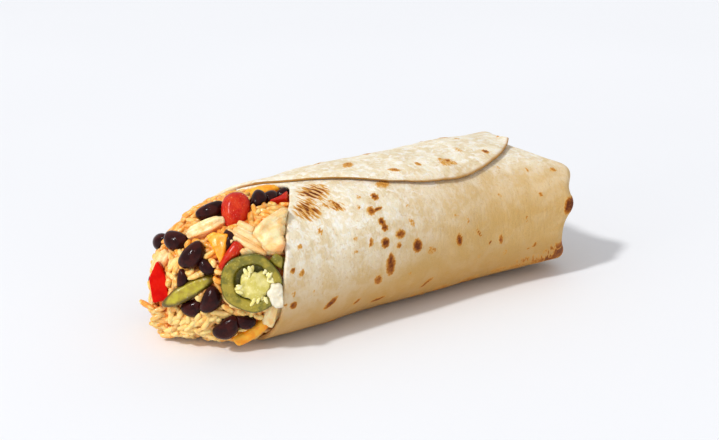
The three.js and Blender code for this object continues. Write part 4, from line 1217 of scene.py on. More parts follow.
        # Crust colour along the loose edge, partly painted shade under the flap's edge, and painted shade on
        # the underside.
        narrow, more, along = self.edge_crust_and_shade
        foot, round_ = self.underside_shade
        crust_and_shade = np.maximum(1 - smooth(side, 0.0, narrow + more * smooth(x, *along)),
                           foot * smooth(from_top(angle), *round_))
        values = {"toast": spots, "sear": self.toasted(x, angle, SEARS) / self.sear_most,
                  "tan_and_shade": self.tan_and_shade_share(base, angle), "dusted": self.dusting(base, angle), "crust_and_shade": crust_and_shade}
        within = np.zeros(u.shape, bool)
        within[1:-1, 1:-1] = True
        both = {key: np.concatenate([value.ravel(), value[within]]) for key, value in values.items()}
        for key, deep in self.through:
            both[key][u.size:] *= deep
        # Painted shade on the inner face, strongest just under the loose edge.
        both["crust_and_shade"][u.size:] = 0.25 + 0.75 * (1 - smooth(side[within], 1, 6))
        number = np.arange(u.size).reshape(u.shape)
        number[within] = u.size + np.arange(within.sum())
        faces = grid_faces(*u.shape)
        back = number.ravel()[faces][:, ::-1]
        points = np.concatenate([outer.reshape(-1, 3), inner[within]])
        flat = np.concatenate([layers.reshape(-1, 3), layers[within] + [0, 0, 60]])
        faces = [tuple(face) for face in np.concatenate([faces, back]).tolist()]
        return Form(points, faces, {**both, "sheet": flat, "local": points.copy()}).turned_out()

    def tan_and_shade_share(self, point: Array, angle: Array) -> Array:
        """How much the sheet is tanned, partly painted shade: more towards the underside and the shut end."""
        away = from_top(angle)
        low, start, full = self.low_tan_and_shade
        end, along, round_ = self.end_tan_and_shade
        back = end * smooth(point[..., 0], *along) * smooth(away, *round_)
        return np.minimum(low * smooth(away, start, full) + back, 1.0)

    def dusting(self, point: Array, angle: Array) -> Array:
        """How much flour lies on the sheet: more on top and towards the open end."""
        bare, along, round_ = self.end_bare
        least, more, high = self.flour
        pale = 1 - bare * smooth(point[..., 0], *along) * smooth(from_top(angle), *round_)
        return (least + more * smooth(point[..., 2], *high)) * pale

    def tuck(self) -> Form:
        """The folded-in end, a creased lens under the rim."""
        whole = ball(*self.tuck_mesh)
        points = self.roll.tuck_point(whole.points[:, [1, 0, 2]])
        outer = smooth(whole.points[:, 0], -0.1, 0.2)
        relief = sum(high * self.noise.at(points, size) for high, size in self.tuck_waves)
        points[:, 0] += relief * outer * (1 - np.hypot(whole.points[:, 1], whole.points[:, 2]) ** 4)
        angle = np.degrees(np.arctan2(-points[:, 1], points[:, 2] - self.tuck_high))
        dark, size, span = self.tuck_spots
        spot = dark * smooth(self.noise.at(points + 40, size), *span)
        # The tan here is partly painted shade.
        values = {"toast": spot, "sear": 0 * spot, "tan_and_shade": self.tan_and_shade_share(points, angle),
                  "dusted": self.dusting(points, angle), "crust_and_shade": 0 * spot,
                  "sheet": points[:, [1, 2, 0]], "local": points.copy()}
        return Form(points, whole.faces, values).turned_out()

    def build(self, mount: Mount) -> Form:
        """Makes the piece and returns its form."""
        form = joined([self.sheet(), self.tuck()])
        mount.place("tortilla_wrap", form, self.finish, "tortilla", ["tortilla"])
        return form


# ---------------------------------------------------------------- the pieces


class Kind(Enum):
    """What a piece of the filling is made of."""

    BEAN = "bean"
    TOMATO = "tomato"
    PEPPER = "pepper"
    CHEDDAR = "cheddar"
    CHICKEN = "chicken"
    JALAPENO = "jalapeno"
    CHEESE = "cheese"


class Solid:
    """A form that is already in place, and what is inside it."""

    margin: float = 2.0
    far: float = 12.0
    push: float = 9.0

    def __init__(self, form: Form) -> None:
        """Builds the search tree."""
        self.low, self.high = form.points.min(axis=0), form.points.max(axis=0)
        self.tree = BVHTree.FromPolygons(form.points.tolist(), form.faces)

    def out_of_reach(self, point: Array, reach: float) -> bool:
        """Whether a point lies further than a reach outside the form's box."""
        return bool(np.any(point < self.low - reach) or np.any(point > self.high + reach))

    def depth(self, point: Array) -> float:
        """How deep a point lies in the form, in millimetres, or less than 0 outside it."""
        if self.out_of_reach(point, self.margin):
            return -self.margin
        near, normal, _, away = self.tree.find_nearest(point.tolist(), self.far)
        if near is None:
            return -self.far
        return away if (np.array(near) - point) @ np.array(normal) > 0 else -away

    def behind(self, point: Array, way: Array, reach: float) -> bool:
        """Whether a ray from a point meets the form within a reach."""
        if self.out_of_reach(point, reach):
            return False
        return self.tree.ray_cast(point.tolist(), way.tolist(), reach)[0] is not None

    def below(self, point: Array, way: Array, gap: float) -> Array:
        """Where a point comes out of the form when it is pushed a way, with a gap beyond."""
        near = self.tree.ray_cast(point.tolist(), way.tolist(), self.push)[0]
        return point if near is None else np.array(near) + way * gap


@dataclass(frozen=True)
class Piece:
    """One piece of the filling: its name, what it is made of, where it lies and how large it is."""

    name: str
    kind: Kind
    place: Place
    length: float = 12.0
    width: float = 8.0
    depth: float = 6.0
    finish: str = ""
    seed: int = 1
    sides: int = 44
    rings: int = 34
    rough: Pairs = ((0.35, 5.0), (0.12, 1.8))
    touch: float = 0.15
    gap: float = 0.25

    def warped(self, at: Array) -> tuple[Array, Array | float]:
        """The points of a unit ball moved to the piece's surface, z outward, and how much skin shows."""
        raise NotImplementedError

    def raw(self) -> Form:
        """The piece at rest at the origin, with the values that its finish needs."""
        whole = ball(self.sides, self.rings)
        points, skin = self.warped(whole.points)
        return Form(points, whole.faces, {"skin": skin + np.zeros(len(points))})

    def shaped(self) -> Form:
        """The raw form with its uneven surface."""
        form = self.raw().turned_out()
        noise, blank = Noise(self.seed), np.zeros(len(form.points))
        relief = sum(high * noise.at(form.points + 60, size) for high, size in self.rough)
        values = {"skin": blank, "tint": blank, **form.values, "local": form.points + 17.0 * self.seed}
        return Form(form.swollen(relief).points, form.faces, values)

    def laid(self, end: OpenEnd, roll: RollForm, over: Sequence[Solid]) -> Form:
        """The piece in its place, pressed in under what lies over it.

        Args:
            end: The open end.
            roll: The roll that holds it in.
            over: What already lies there.

        Returns:
            The form in the drawing frame.
        """
        matrix = end.placing(self.place)
        form = self.shaped().moved(matrix)
        points = form.points
        for solid in over:
            inside = np.all((points > solid.low) & (points < solid.high), axis=1)
            for i in np.flatnonzero(inside):
                if solid.depth(points[i]) > -self.touch:
                    points[i] = solid.below(points[i], -matrix[:3, 2], self.gap)
        return Form(roll.held_in(points, self.touch), form.faces, form.values)


@dataclass(frozen=True)
class Bean(Piece):
    """A black bean: an egg bent towards its eye."""

    rough: Pairs = ((0.22, 5.0), (0.05, 1.6))
    bend: float = 0.16
    thickness: float = 0.46
    eye_depth: float = 0.45
    eye_skin: float = 0.8

    def warped(self, at: Array) -> tuple[Array, Array]:
        """The bean, its eye in the hollow of its bend."""
        x, y, z = at.T
        bend = self.bend * self.width * (x**2 - 0.4)
        eye = bell(np.hypot(x * 1.6, z * 2.6), 0.5) * smooth(y, 0.4, 0.9)
        side = y * self.width / 2 + bend - self.eye_depth * eye
        return xyz(x * self.length / 2, side, z * self.width * self.thickness), self.eye_skin * eye


@dataclass(frozen=True)
class Chunk(Piece):
    """A juicy chunk, boxier than an egg, one side of it cut flat and the rest skin."""

    taper: float = 0.0
    box: float = 0.75
    cut: float = 0.8

    def warped(self, at: Array) -> tuple[Array, Array]:
        """The chunk, its cut side up."""
        x, y, z = superpower(at, self.box).T
        narrow = 1 + self.taper * x
        points = xyz(x * self.length, y * self.width * narrow, np.minimum(z, self.cut) * self.depth) / 2
        return points, 1 - smooth(z, 0.1, 0.75)


@dataclass(frozen=True)
class Strip(Piece):
    """A strip, thinner towards its ends, bent by sag and twisted by some degrees."""

    sag: float = 0.0
    twist: float = 0.0
    box: float = 0.62
    slimming: float = 0.45

    def warped(self, at: Array) -> tuple[Array, float]:
        """The strip along x."""
        x = at[:, 0]
        share = (1 - np.abs(x) ** 9) ** 0.5
        y, z = (superpower(unit(at[:, 1:]), self.box) * share[:, None] / 2).T
        slim = 1 - self.slimming * x**4
        turn = np.radians(self.twist * x)
        y, z = y * self.width * slim, z * self.depth * slim * (1.15 - 0.15 * np.abs(2 * y))
        x = np.sin(x * math.pi / 2) * self.length / 2
        bent = y * np.sin(turn) + z * np.cos(turn) - self.sag * (2 * x / self.length) ** 2
        return xyz(x, y * np.cos(turn) - z * np.sin(turn), bent), 0.0


@dataclass(frozen=True)
class Slab(Piece):
    """A flat-cut piece with an outline of its own and softened edges."""

    sides: int = 88
    outline: Pairs = ()
    bevel: float = 0.8
    face: float = 0.36
    rays: int = 720
    corner: int = 9

    def radius(self, turn: Array) -> Array:
        """How far the outline lies from its middle, its corners a little rounded."""
        corners = np.array(self.outline) - np.mean(self.outline, axis=0)
        reach = np.full(self.rays, 1e9)
        turns = np.arange(self.rays) * 360 / self.rays
        ray = np.stack([np.cos(np.radians(turns)), np.sin(np.radians(turns))], -1)
        for start, finish in zip(corners, np.roll(corners, -1, axis=0)):
            side = finish - start
            cross = ray[:, 0] * side[1] - ray[:, 1] * side[0]
            cross = np.where(np.abs(cross) < 1e-9, 1e-9, cross)
            along = (start[0] * side[1] - start[1] * side[0]) / cross
            part = (start[0] * ray[:, 1] - start[1] * ray[:, 0]) / cross
            met = (along > 0) & (part >= -1e-6) & (part <= 1 + 1e-6)
            reach = np.where(met, np.minimum(reach, along), reach)
        near = range(-self.corner, self.corner + 1)
        rounded = sum(np.roll(reach, k) for k in near) / len(near)
        return np.interp(np.degrees(turn) % 360, turns, rounded, period=360)

    def warped(self, at: Array) -> tuple[Array, float]:
        """The slab, its flat sides facing up and down."""
        lean = np.arccos(np.clip(at[:, 0], -1, 1)) / math.pi
        turn = np.arctan2(at[:, 2], at[:, 1])
        half, bevel, reach = self.depth / 2, self.bevel, self.radius(turn)
        knots = (0.0, self.face, 0.40, 0.44, 0.56, 0.60, 1 - self.face, 1.0)
        inward = np.interp(lean, knots, (9, 1, 0.3, 0, 0, 0.3, 1, 9)) * bevel
        share = np.interp(lean, (0, self.face, 1 - self.face, 1), (0, 1, 1, 0))
        edge = np.maximum(reach - np.minimum(inward, bevel), 0)
        flat = (lean < self.face) | (lean > 1 - self.face)
        out = np.where(flat, share * np.maximum(reach - bevel, 0), edge)
        upper = (half, half, half - 0.3 * bevel, half - bevel)
        z = np.interp(lean, knots, (*upper, -half + bevel, -half + 0.3 * bevel, -half, -half))
        x, y = np.mean(self.outline, axis=0)
        return xyz(x + out * np.cos(turn), y + out * np.sin(turn), z), 0.0


@dataclass(frozen=True)
class Chicken(Piece):
    """A torn piece of chicken with the ridges of its grain along x."""

    ridges: int = 3
    ridge_height: float = 0.16
    box: float = 0.62
    fibre_height: float = 0.32
    fibre_size: Triple = (9.0, 1.3, 1.3)
    sides: int = 64
    rings: int = 44
    rough: Pairs = ((0.45, 4.6), (0.2, 1.7))

    def warped(self, at: Array) -> tuple[Array, Array]:
        """The torn piece, its fibres standing a little apart."""
        x, y, z = np.clip(superpower(at, self.box) * 1.12, -1, 1).T
        torn = 1 - 0.28 * x**2 + 0.1 * np.sin(5 * y + 2 * x)
        domed = np.sqrt(1 - 0.6 * y**2) * (1 - 0.3 * x**4)
        ridge = 1 + self.ridge_height * np.cos(y * self.ridges * math.pi) * (z > 0)
        high = z * self.depth * domed * ridge
        points = xyz(x * self.length * (1 - 0.12 * y**2), y * self.width * torn, high) / 2
        fibre = Noise(self.seed + 90).layered(points, self.fibre_size, 2)
        points += unit(at) * self.fibre_height * fibre[:, None]
        seasoned = smooth(-y + 0.5 * fibre, 0.35, 1.1)
        return points, np.maximum(smooth(fibre, 0.35, 1.0) * 0.5, 0.8 * seasoned)


@dataclass(frozen=True)
class PulledChicken(Piece):
    """A few bent strands of chicken side by side."""

    strands: int = 7

    def raw(self) -> Form:
        """The bundle."""
        forms = []
        for i in range(self.strands):
            place = (i + 0.5) / self.strands - 0.5
            size = self.length * (1 - 0.35 * abs(place) + 0.08 * math.sin(9 * i))
            strand = Strip("", self.kind, self.place, size, 1.7 * self.width / self.strands,
                           self.depth * 0.75, sides=16, rings=24, sag=0.8, twist=22 * math.sin(5 * i)).raw()
            turn = 0.4 * place + 0.12 * math.sin(7 * i)
            sine, cosine = math.sin(turn), math.cos(turn)
            spin = np.array([[cosine, -sine, 0], [sine, cosine, 0], [0, 0, 1]])
            at = [1.3 * math.sin(4 * i), place * self.width, 0.5 * math.cos(3 * i)]
            tone = np.full(len(strand.points), 0.25 + 0.25 * math.sin(11 * i))
            forms.append(Form(strand.points @ spin.T + at, strand.faces, {"skin": tone}))
        return joined(forms)


@dataclass(frozen=True)
class Wedge(Piece):
    """A pepper slice lying almost flat, skin along its lower side, whose dark colour is partly painted shade.
    """

    cut: float = 0.72

    def warped(self, at: Array) -> tuple[Array, Array]:
        """The slice along x."""
        x, y, z = at.T
        high = np.minimum(z, self.cut) * self.depth * (1 - 0.25 * y)
        # Skin colour on the underside and along the lower side: partly real skin, partly painted shade.
        skin = np.maximum(1 - smooth(z, 0.5, 0.74), 1 - smooth(y, -0.75, -0.35))
        return xyz(x * self.length, y * self.width, high) / 2, skin


@dataclass(frozen=True)
class JalapenoRing(Piece):
    """The wall of a jalapeno slice, with the thin skin that shuts it behind, its dark skin colour painted
    shade in the hollow.
    """

    sides: int = 96
    rings: int = 60
    radius: float = 13.0
    wall: float = 5.0
    hole: float = 0.9
    heart: Colour = (1.9, -1.6, 15.0, 13.0)

    def warped(self, at: Array) -> tuple[Array, Array]:
        """The wall, its outside covered with skin. Its profile goes from the back to the inside."""
        radius, inner, half = self.radius, self.radius - self.wall, self.depth / 2
        # Skin on the outside wall is real; the skin colour on the floor of the hollow is painted shade.
        out, z, skin = np.array([
            (0.0, -half, 0), (inner * 0.7, -half - 0.2, 0), (inner + 0.8, -half, 0),
            (radius - 0.4, -half, 0.7), (radius, -half * 0.2, 1), (radius, half - 0.7, 1),
            (radius - 0.25, half - 0.2, 0.9), (radius - 0.8, half, 0.15), (inner + 1.6, half, 0),
            (inner + 0.8, half - 0.2, 0.05), (inner + 0.2, half - 1, 0.15), (inner, 0, 0.25),
            (inner - 0.2, -half + 1.3, 0.6), (inner * 0.7, -half + 1.0, 0.8), (0.0, -half + 1.0, 0.8)]).T
        steps = np.concatenate([[0], np.cumsum(np.linalg.norm(np.diff([out, z]), axis=0))])
        lean = np.arccos(np.clip(-at[:, 0], -1, 1)) / math.pi * steps[-1]
        turn = np.arctan2(at[:, 2], at[:, 1])
        out, z, skin = (np.interp(lean, steps, part) for part in (out, z, skin))
        out = out * (1 + 0.035 * np.cos(2 * turn + 0.6) + 0.02 * np.cos(5 * turn))
        shift = self.hole * smooth(radius - out, 1.5, self.wall)
        return xyz(out * np.cos(turn) + shift, out * np.sin(turn), z), skin


@dataclass(frozen=True)
class JalapenoHeart(Piece):
    """The pale pith in the middle of a jalapeno slice."""

    sides: int = 88
    middle: Pair = (1.9, -1.6)
    rough: Pairs = ((0.8, 3.6), (0.35, 1.4))
    half: float = 0.49
    lobes: tuple[Triple, ...] = ((0.05, 5, 1), (0.03, 3, 0), (0.02, 11, 0))

    def warped(self, at: Array) -> tuple[Array, float]:
        """The pith, lobed like a flower."""
        z, x, y = at.T
        turn = np.arctan2(y, x)
        out = sum((share * np.cos(count * turn + shift) for share, count, shift in self.lobes), self.half)
        across, up = self.middle
        high = superpower(z, 0.5) * self.depth / 2
        return xyz(across + x * self.length * out, up + y * self.width * out, high), 0.0


@dataclass(frozen=True)
class JalapenoSeeds(Piece):
    """The seeds that stick out round the pith of a jalapeno slice."""

    middle: Pair = (1.9, -1.6)
    sectors: tuple[tuple[float, float, int], ...] = ((15, 62, 7), (88, 125, 4), (160, 205, 4), (-100, -20, 9))
    rough: Pairs = ((0.05, 1.5),)

    def raw(self) -> Form:
        """Flat round seeds in clusters, each leaning its own way."""
        chance = np.random.default_rng(self.seed)
        forms = []
        turns = [chance.uniform(low, high) for low, high, count in self.sectors for _ in range(count)]
        for turn in np.radians(turns):
            whole = ball(14, 10)
            points = whole.points * [chance.uniform(1.5, 2.2), chance.uniform(0.75, 1.0), 0.6]
            lean, spin = chance.uniform(-0.8, 0.8), turn + chance.uniform(-0.7, 0.7)
            tip = Matrix.Rotation(spin, 3, "Z") @ Matrix.Rotation(lean, 3, "X")
            points = points @ np.array(tip).T
            out = chance.uniform(0.46, 0.62)
            at = [self.middle[0] + self.length * out * math.cos(turn),
                  self.middle[1] + self.width * out * math.sin(turn), self.depth * chance.uniform(0.2, 0.5)]
            tone = np.full(len(points), chance.uniform(-0.4, 0.5))
            forms.append(Form(points + at, whole.faces, {"tint": tone}))
        return joined(forms)


def bean(number: int, length: float, width: float, place: Place) -> Bean:
    """A black bean of some size in its place."""
    return Bean(f"bean_{number:02d}", Kind.BEAN, place, length, width, seed=20 + number)


def pieces() -> list[Piece]:
    """All pieces of the filling but the rice. Earlier ones lie on later ones."""
    tomato, cheddar, chicken, pepper = Kind.TOMATO, Kind.CHEDDAR, Kind.CHICKEN, Kind.JALAPENO
    ring = Place(15.2, -5.4, 0, 0.55, 1.4)
    return [
        Slab("white_cheese", Kind.CHEESE, Place(24.8, -9.4, 0, 0.4, 3.9), depth=4.4, seed=13, bevel=1.6,
             rough=((0.9, 4.0), (0.4, 1.4)),
             outline=((-3.9, 0.4), (-2, 4.4), (1.2, 5.6), (4, 4.8), (4.4, -5.4), (0.6, -6.6), (-2.4, -4.4))),
        JalapenoRing("jalapeno_1", pepper, ring, depth=5.2, seed=3, rough=((0.3, 6.0), (0.12, 2.0))),
        Chicken("chicken_1", chicken, Place(28, 16.3, 33, 0.3, -0.5), 24, 19, 10, seed=4),
        Chunk("tomato_1", tomato, Place(7.7, 24, 82, 0.7, 1), 17.5, 12.4, 9, seed=5, taper=0.12,
              box=0.9, cut=0.94, rough=((0.3, 7.0), (0.2, 2.2))),
        bean(1, 13.5, 8, Place(-3.2, 23.4, 24, 0.4, 2)),
        bean(6, 12, 9, Place(-17.4, 11, -14, 0.4, 2.2)),
        bean(7, 14, 9.8, Place(-9.5, 5, 48, 0.4, 2.4)),
        bean(12, 13.5, 9, Place(4, -24.6, 36, 0.3, 1.6)),
        bean(10, 13, 8.6, Place(-2.2, -12.8, 66, 0.4, 1.6)),
        Wedge("jalapeno_2", pepper, Place(-12.3, -9.6, 29, 0.6, 0.4), 27, 7.5, 7, "jalapeno_slice", seed=6),
        Slab("red_pepper", Kind.PEPPER, Place(-25, -6.9, 0, 0.85, 1.2), depth=5, seed=7,
             rough=((0.2, 6.0),), bevel=0.6,
             outline=((-0.4, 10.6), (-4.2, 2.6), (-2.2, -8.4), (4.9, -6.2), (3.4, 3))),
        Strip("cheddar_3", cheddar, Place(14, -27.2, 32, 0.4, 1.2), 17.5, 5.6, 4.4, seed=8, sag=1.1,
              twist=12),
        Slab("cheddar_1", cheddar, Place(1.2, 8.4, 0, 0.45, 0.4), depth=5, seed=9, bevel=0.8,
             outline=((-5.4, 5.2), (-2.2, 7.2), (4.2, 6.2), (2.2, -8.4), (-0.4, -3))),
        Chicken("chicken_2", chicken, Place(-5, 17, 24, 0.35, 0.4), 18, 7.6, 7, seed=10, ridges=2),
        bean(2, 10.5, 7.4, Place(17, 28.8, 78, 0.4, 1.4)),
        Strip("tomato_3", tomato, Place(6.6, 5.3, 56, 0.5, 0.8), 14, 5.4, 4.6, seed=11, sag=0.6, twist=-10),
        Strip("cheddar_2", cheddar, Place(17.6, 33.4, 14, 0.3, 0.2), 17, 5, 4, seed=12, sag=0.5, twist=8),
        Chicken("chicken_5", chicken, Place(24.4, -19.4, 70, 0.2, -0.2), 13, 9.4, 7, seed=14, ridges=2),
        Slab("tomato_2", tomato, Place(26.6, 29.6, 0, 0.3, 0.2), depth=5, seed=15, bevel=0.7,
             outline=((-5.4, -3.6), (4.4, 4.8), (5.4, -1))),
        bean(14, 10, 7, Place(5.4, 12.2, 80, 0.4, 0.2)),
        PulledChicken("chicken_3", chicken, Place(14, 11.6, -32, 0.4, 0.6), 19, 12, 4.8, seed=16,
                      rough=((0.12, 1.5),)),
        Chicken("chicken_4", chicken, Place(-26, 2.8, 62, 0.4, -1.2), 12, 8, 6, seed=17, ridges=2),
        bean(5, 11, 8, Place(-26, 11.4, 12, 0.2, 0.6)),
        bean(8, 9, 6, Place(-4, 1, -40, 0.4, 0.6)),
        bean(9, 9, 5, Place(-14.8, -4.4, 84, 0.4, 0.6)),
        bean(11, 11, 7.6, Place(-11, -17, 18, 0.4, -0.6)),
        bean(13, 9.5, 6.6, Place(12.2, -22.6, -10, 0.3, 0.6)),
        bean(3, 9.5, 7, Place(21.6, 30.4, 30, 0.3, 0.2)),
        bean(4, 9, 6.4, Place(28, 33.2, 30, 0.3, -0.6)),
        Strip("jalapeno_3", pepper, Place(27.2, 3.4, -30, 0.3, 0.4), 8, 5, 4.4, seed=18, sag=0.4, twist=10),
        Chicken("chicken_6", chicken, Place(spin=35, rise=0.2, x=-77, angle=-94), 19, 11, 7, seed=19,
                ridges=2),
        bean(15, 12.5, 8.2, Place(spin=30, rise=1.2, x=-84, angle=-76)),
        bean(16, 12, 8.4, Place(spin=60, rise=1.4, x=-94, angle=-104)),
        Chunk("tomato_4", tomato, Place(spin=15, rise=0.4, x=-84, angle=-122), 13, 10, 8, seed=20, taper=0.1),
        Strip("cheddar_4", cheddar, Place(spin=-50, rise=0.2, x=-90, angle=-60), 17, 5, 4, seed=21, sag=1.4,
              twist=12),
    ]


@dataclass
class Filling:
    """The beans, chicken, cheese, tomato and peppers in the open end."""

    end: OpenEnd
    roll: RollForm
    finishes: dict[str, bpy.types.Material]
    solids: list[Solid] = field(default_factory=list)

    def add(self, mount: Mount, piece: Piece, name: str, nodes: Sequence[str] = ()) -> Form:
        """Lays a piece in its place, makes it under a name and returns its form."""
        form = piece.laid(self.end, self.roll, self.solids)
        slot = piece.kind.value
        mount.place(name, form, self.finishes[piece.finish or slot], slot, nodes)
        return form

    def build(self, mount: Mount) -> None:
        """Makes all pieces."""
        for piece in pieces():
            form = self.add(mount, piece, f"{piece.name}_flesh", [piece.name])
            if isinstance(piece, JalapenoRing):
                self.build_heart(mount, piece)
            self.solids.append(Solid(form))

    def build_heart(self, mount: Mount, ring: JalapenoRing) -> None:
        """Makes the pith and the seeds of the jalapeno slice."""
        x, y, width, height = ring.heart
        for kind, name, depth, seed in ((JalapenoHeart, "jalapeno_pith", ring.depth * 0.9, 31),
                                        (JalapenoSeeds, "jalapeno_seeds", ring.depth, 32)):
            part = kind(name, ring.kind, ring.place, width, height, depth, name, seed, middle=(x, y))
            self.add(mount, part, name)


@dataclass
class Rice:
    """The rice: a packed core with loose grains all over what shows of it.

    swirl holds how far the grains turn together, over what distance, and how far each turns alone.
    pale holds how pale the lowest grains are, how much less the highest, and between what heights: painted
    light, the low grains paler where less light reaches them, the high ones darker where more falls.
    mottle holds the size of the paler patches, how much paler they are, and each grain by itself.
    deepest holds how deep in a piece the middle of a grain's spine may lie, its quarters and its tips.
    """

    roll: RollForm
    end: OpenEnd
    finish: bpy.types.Material
    grain_length: float = 8.2
    grain_width: float = 2.75
    tries: int = 7000
    most: int = 1550
    spacing: float = 2.1
    sunk: float = 1.6
    layers: tuple[float, ...] = (0.6, -0.35, -1.2)
    short: float = 0.55
    turns: tuple[float, ...] = (0, 60, 120)
    view_gap: float = 3.8
    middle: float = 31.0
    sides: int = 120
    heap_shares: tuple[float, float, int] = (0.06, 0.9, 24)
    tip_shares: tuple[float, ...] = (0.93, 0.955, 0.975, 0.99, 0.998)
    sunk_inside: Pair = (38.0, 52.0)
    sunk_heap: Pair = (62.0, 70.0)
    bumpy_from: Pair = (44.0, 60.0)
    bumps: Pairs = ((0.7, 3.2), (0.5, 7.5))
    floor_gap: float = 0.5
    # The core's colour: dark sauce orange that paints the shade between the grains.
    core_shaded_look: Pair = (-0.2, 0.85)
    grain_mesh: tuple[int, int] = (8, 7)
    spread: Pair = (-0.5, 0.97)
    flank: float = 0.6
    mouth_reach: float = 2.5
    tuft_across: float = -26.0
    tuft_first: tuple[float, ...] = (-31.8, -16.4, -29.0, 0.0)
    tuft_grains: int = 16
    spine: tuple[float, ...] = (0.0, 0.55, -0.55, 0.9, -0.9)
    deepest: Triple = (-0.7, 0.3, 1.2)
    foot: float = 0.42
    swirl: Triple = (150.0, 13.0, 38.0)
    uneven: Pair = (0.3, 16.0)
    # Painted light: lower grains are painted paler, higher ones darker.
    pale: tuple[float, float, Pair] = (1.0, 1.3, (14.0, 46.0))
    mottle: Triple = (9.0, 0.5, 0.4)
    # Deeper grains get more of the dark sauce colour, partly painted shade.
    sauced_and_shaded: Pair = (0.22, 0.3)
    stations: Pairs = (
        (84.5, 11), (83, 6), (79.5, 2.4), (72.5, 0.4), (52, 0), (32, 0), (10, 0), (-8, 0), (-26, 0), (-36, 0),
        (-42, 0), (-47, 0), (-52, 0), (-57, 0), (-62, 0))
    noise: Noise = field(default_factory=lambda: Noise(23))

    def barrel(self, x: Array, angle: Array, across: float, inset: Array | float) -> Array:
        """Points of the core inside the roll, on its surface where across is 1."""
        point = self.roll.inside(x, angle, inset)
        centre = xyz(x + 0 * angle, 0 * point[..., 1], 0 * point[..., 2] + self.middle)
        return lerp(centre, point, across)

    def core(self) -> Form:
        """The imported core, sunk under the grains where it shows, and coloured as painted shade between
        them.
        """
        heap = self.end.heap
        shares = np.concatenate([np.linspace(*self.heap_shares), self.tip_shares])
        rings = len(self.stations) + len(shares) + 1
        whole = ball(self.sides, rings)
        angle = np.degrees(np.arctan2(whole.points[:, 1], whole.points[:, 2]))
        row = np.rint(np.arccos(np.clip(-whole.points[:, 0], -1, 1)) / math.pi * rings).astype(int) - 1
        points = np.zeros_like(whole.points)
        count = len(self.stations)
        for i in range(-1, rings):
            here = row == i
            if i < count:
                x, inset = self.stations[max(i, 0)]
                sink = self.sunk * smooth(np.array(-x), *self.sunk_inside)
                x = np.full(here.sum(), float(x))
                points[here] = self.barrel(x, angle[here], float(i >= 0), inset + sink)
            else:
                share = shares[min(i - count, len(shares) - 1)]
                x = np.full(here.sum(), lerp(heap.root, heap.tip, share))
                points[here] = heap.point(x, angle[here], float(i < rings - 1))
        form = Form(points, whole.faces).turned_out()
        shown = smooth(-form.points[:, 0], *self.bumpy_from)
        sink = self.sunk * smooth(-form.points[:, 0], *self.sunk_heap)
        bumps = sum(high * self.noise.at(form.points, size) for high, size in self.bumps)
        form = form.swollen(shown * bumps - sink)
        form.points[:, 2] = np.maximum(form.points[:, 2], self.floor_gap)
        return self.toned(form, *self.core_shaded_look, form.points.copy())

    @staticmethod
    def toned(form: Form, tint: float, skin: float, local: Array) -> Form:
        """The form, as pale and with as much sauce and painted shade all over, and with places of its own for
        its finish.
        """
        size = len(form.points)
        values = {"tint": np.full(size, tint), "skin": np.full(size, skin), "local": local}
        return Form(form.points, form.faces, values)

    def grain(self, matrix: Array, number: int, tone: float, deep: float) -> Form:
        """One grain of cooked rice.

        Args:
            matrix: Its placing.
            number: Its number, which sets its size and bend.
            tone: How pale it is.
            deep: How much sauce is on it, which is also painted shade on the deeper grains.

        Returns:
            The grain.
        """
        whole = ball(*self.grain_mesh)
        vary = math.sin(12.9898 * number)
        x, y, z = whole.points.T
        blunt = np.maximum(np.hypot(y, z), 0.05) ** -0.3
        y, z = y * blunt, z * blunt
        bend = (0.4 + 0.4 * vary) * x**2
        half = self.grain_width / 2 * (1 + 0.10 * math.sin(5.3 * number))
        long = self.grain_length / 2 * (1 + 0.13 * vary)
        belly = 1 + 0.06 * np.sin(3 * x + number)
        points = xyz(superpower(x, 0.85) * long, y * half * belly + bend, z * half * 0.92)
        return self.toned(Form(points, whole.faces).moved(matrix), tone, deep, points + 3.7 * number)

    def tuft(self) -> list[Form]:
        """The grains that have slid out on the far side of the heap's foot."""
        chance = np.random.default_rng(5)
        places = [self.tuft_first]
        for far in np.arange(self.tuft_grains) / (self.tuft_grains - 1):
            across = -28.4 + 4.5 * far**2 + chance.uniform(-0.6, 2.6)
            places.append((across, -18.4 - 11.5 * far, chance.uniform(-24, 30), chance.uniform(-0.4, 0.9)))
        grains = []
        for i, (across, up, spin, off) in enumerate(places):
            foot = self.end.point(self.tuft_across, up)
            at = foot + self.end.across * (across - self.tuft_across) + self.end.out * off
            matrix = lying(at, self.end.out, spin)
            grains.append(self.grain(matrix, 9000 + i, chance.uniform(0.1, 0.7), 0.1))
        return grains

    def candidates(self) -> tuple[Array, Array]:
        """Places spread evenly over the heap and the roll's mouth, each with its way out."""
        heap, chance = self.end.heap, np.random.default_rng(2)
        share = chance.uniform(*self.spread, self.tries)
        angle = chance.uniform(0, 360, self.tries)
        x = lerp(heap.root, heap.tip, share)
        behind = x > heap.root
        on_heap = heap.point(np.where(behind, heap.root, x), angle)
        in_mouth = self.barrel(np.maximum(x, heap.root), angle, 1.0, 0.0)
        points = np.where(behind[:, None], in_mouth, on_heap)
        ways = heap.outward(points)
        area = np.where(behind, 1.0, np.abs(ways[:, 0]) ** 2 + self.flank)
        kept = chance.uniform(0, 1 + self.flank, self.tries) < area
        kept = kept & (x < self.roll.mouth_x(angle) + self.mouth_reach)
        return points[kept], ways[kept]

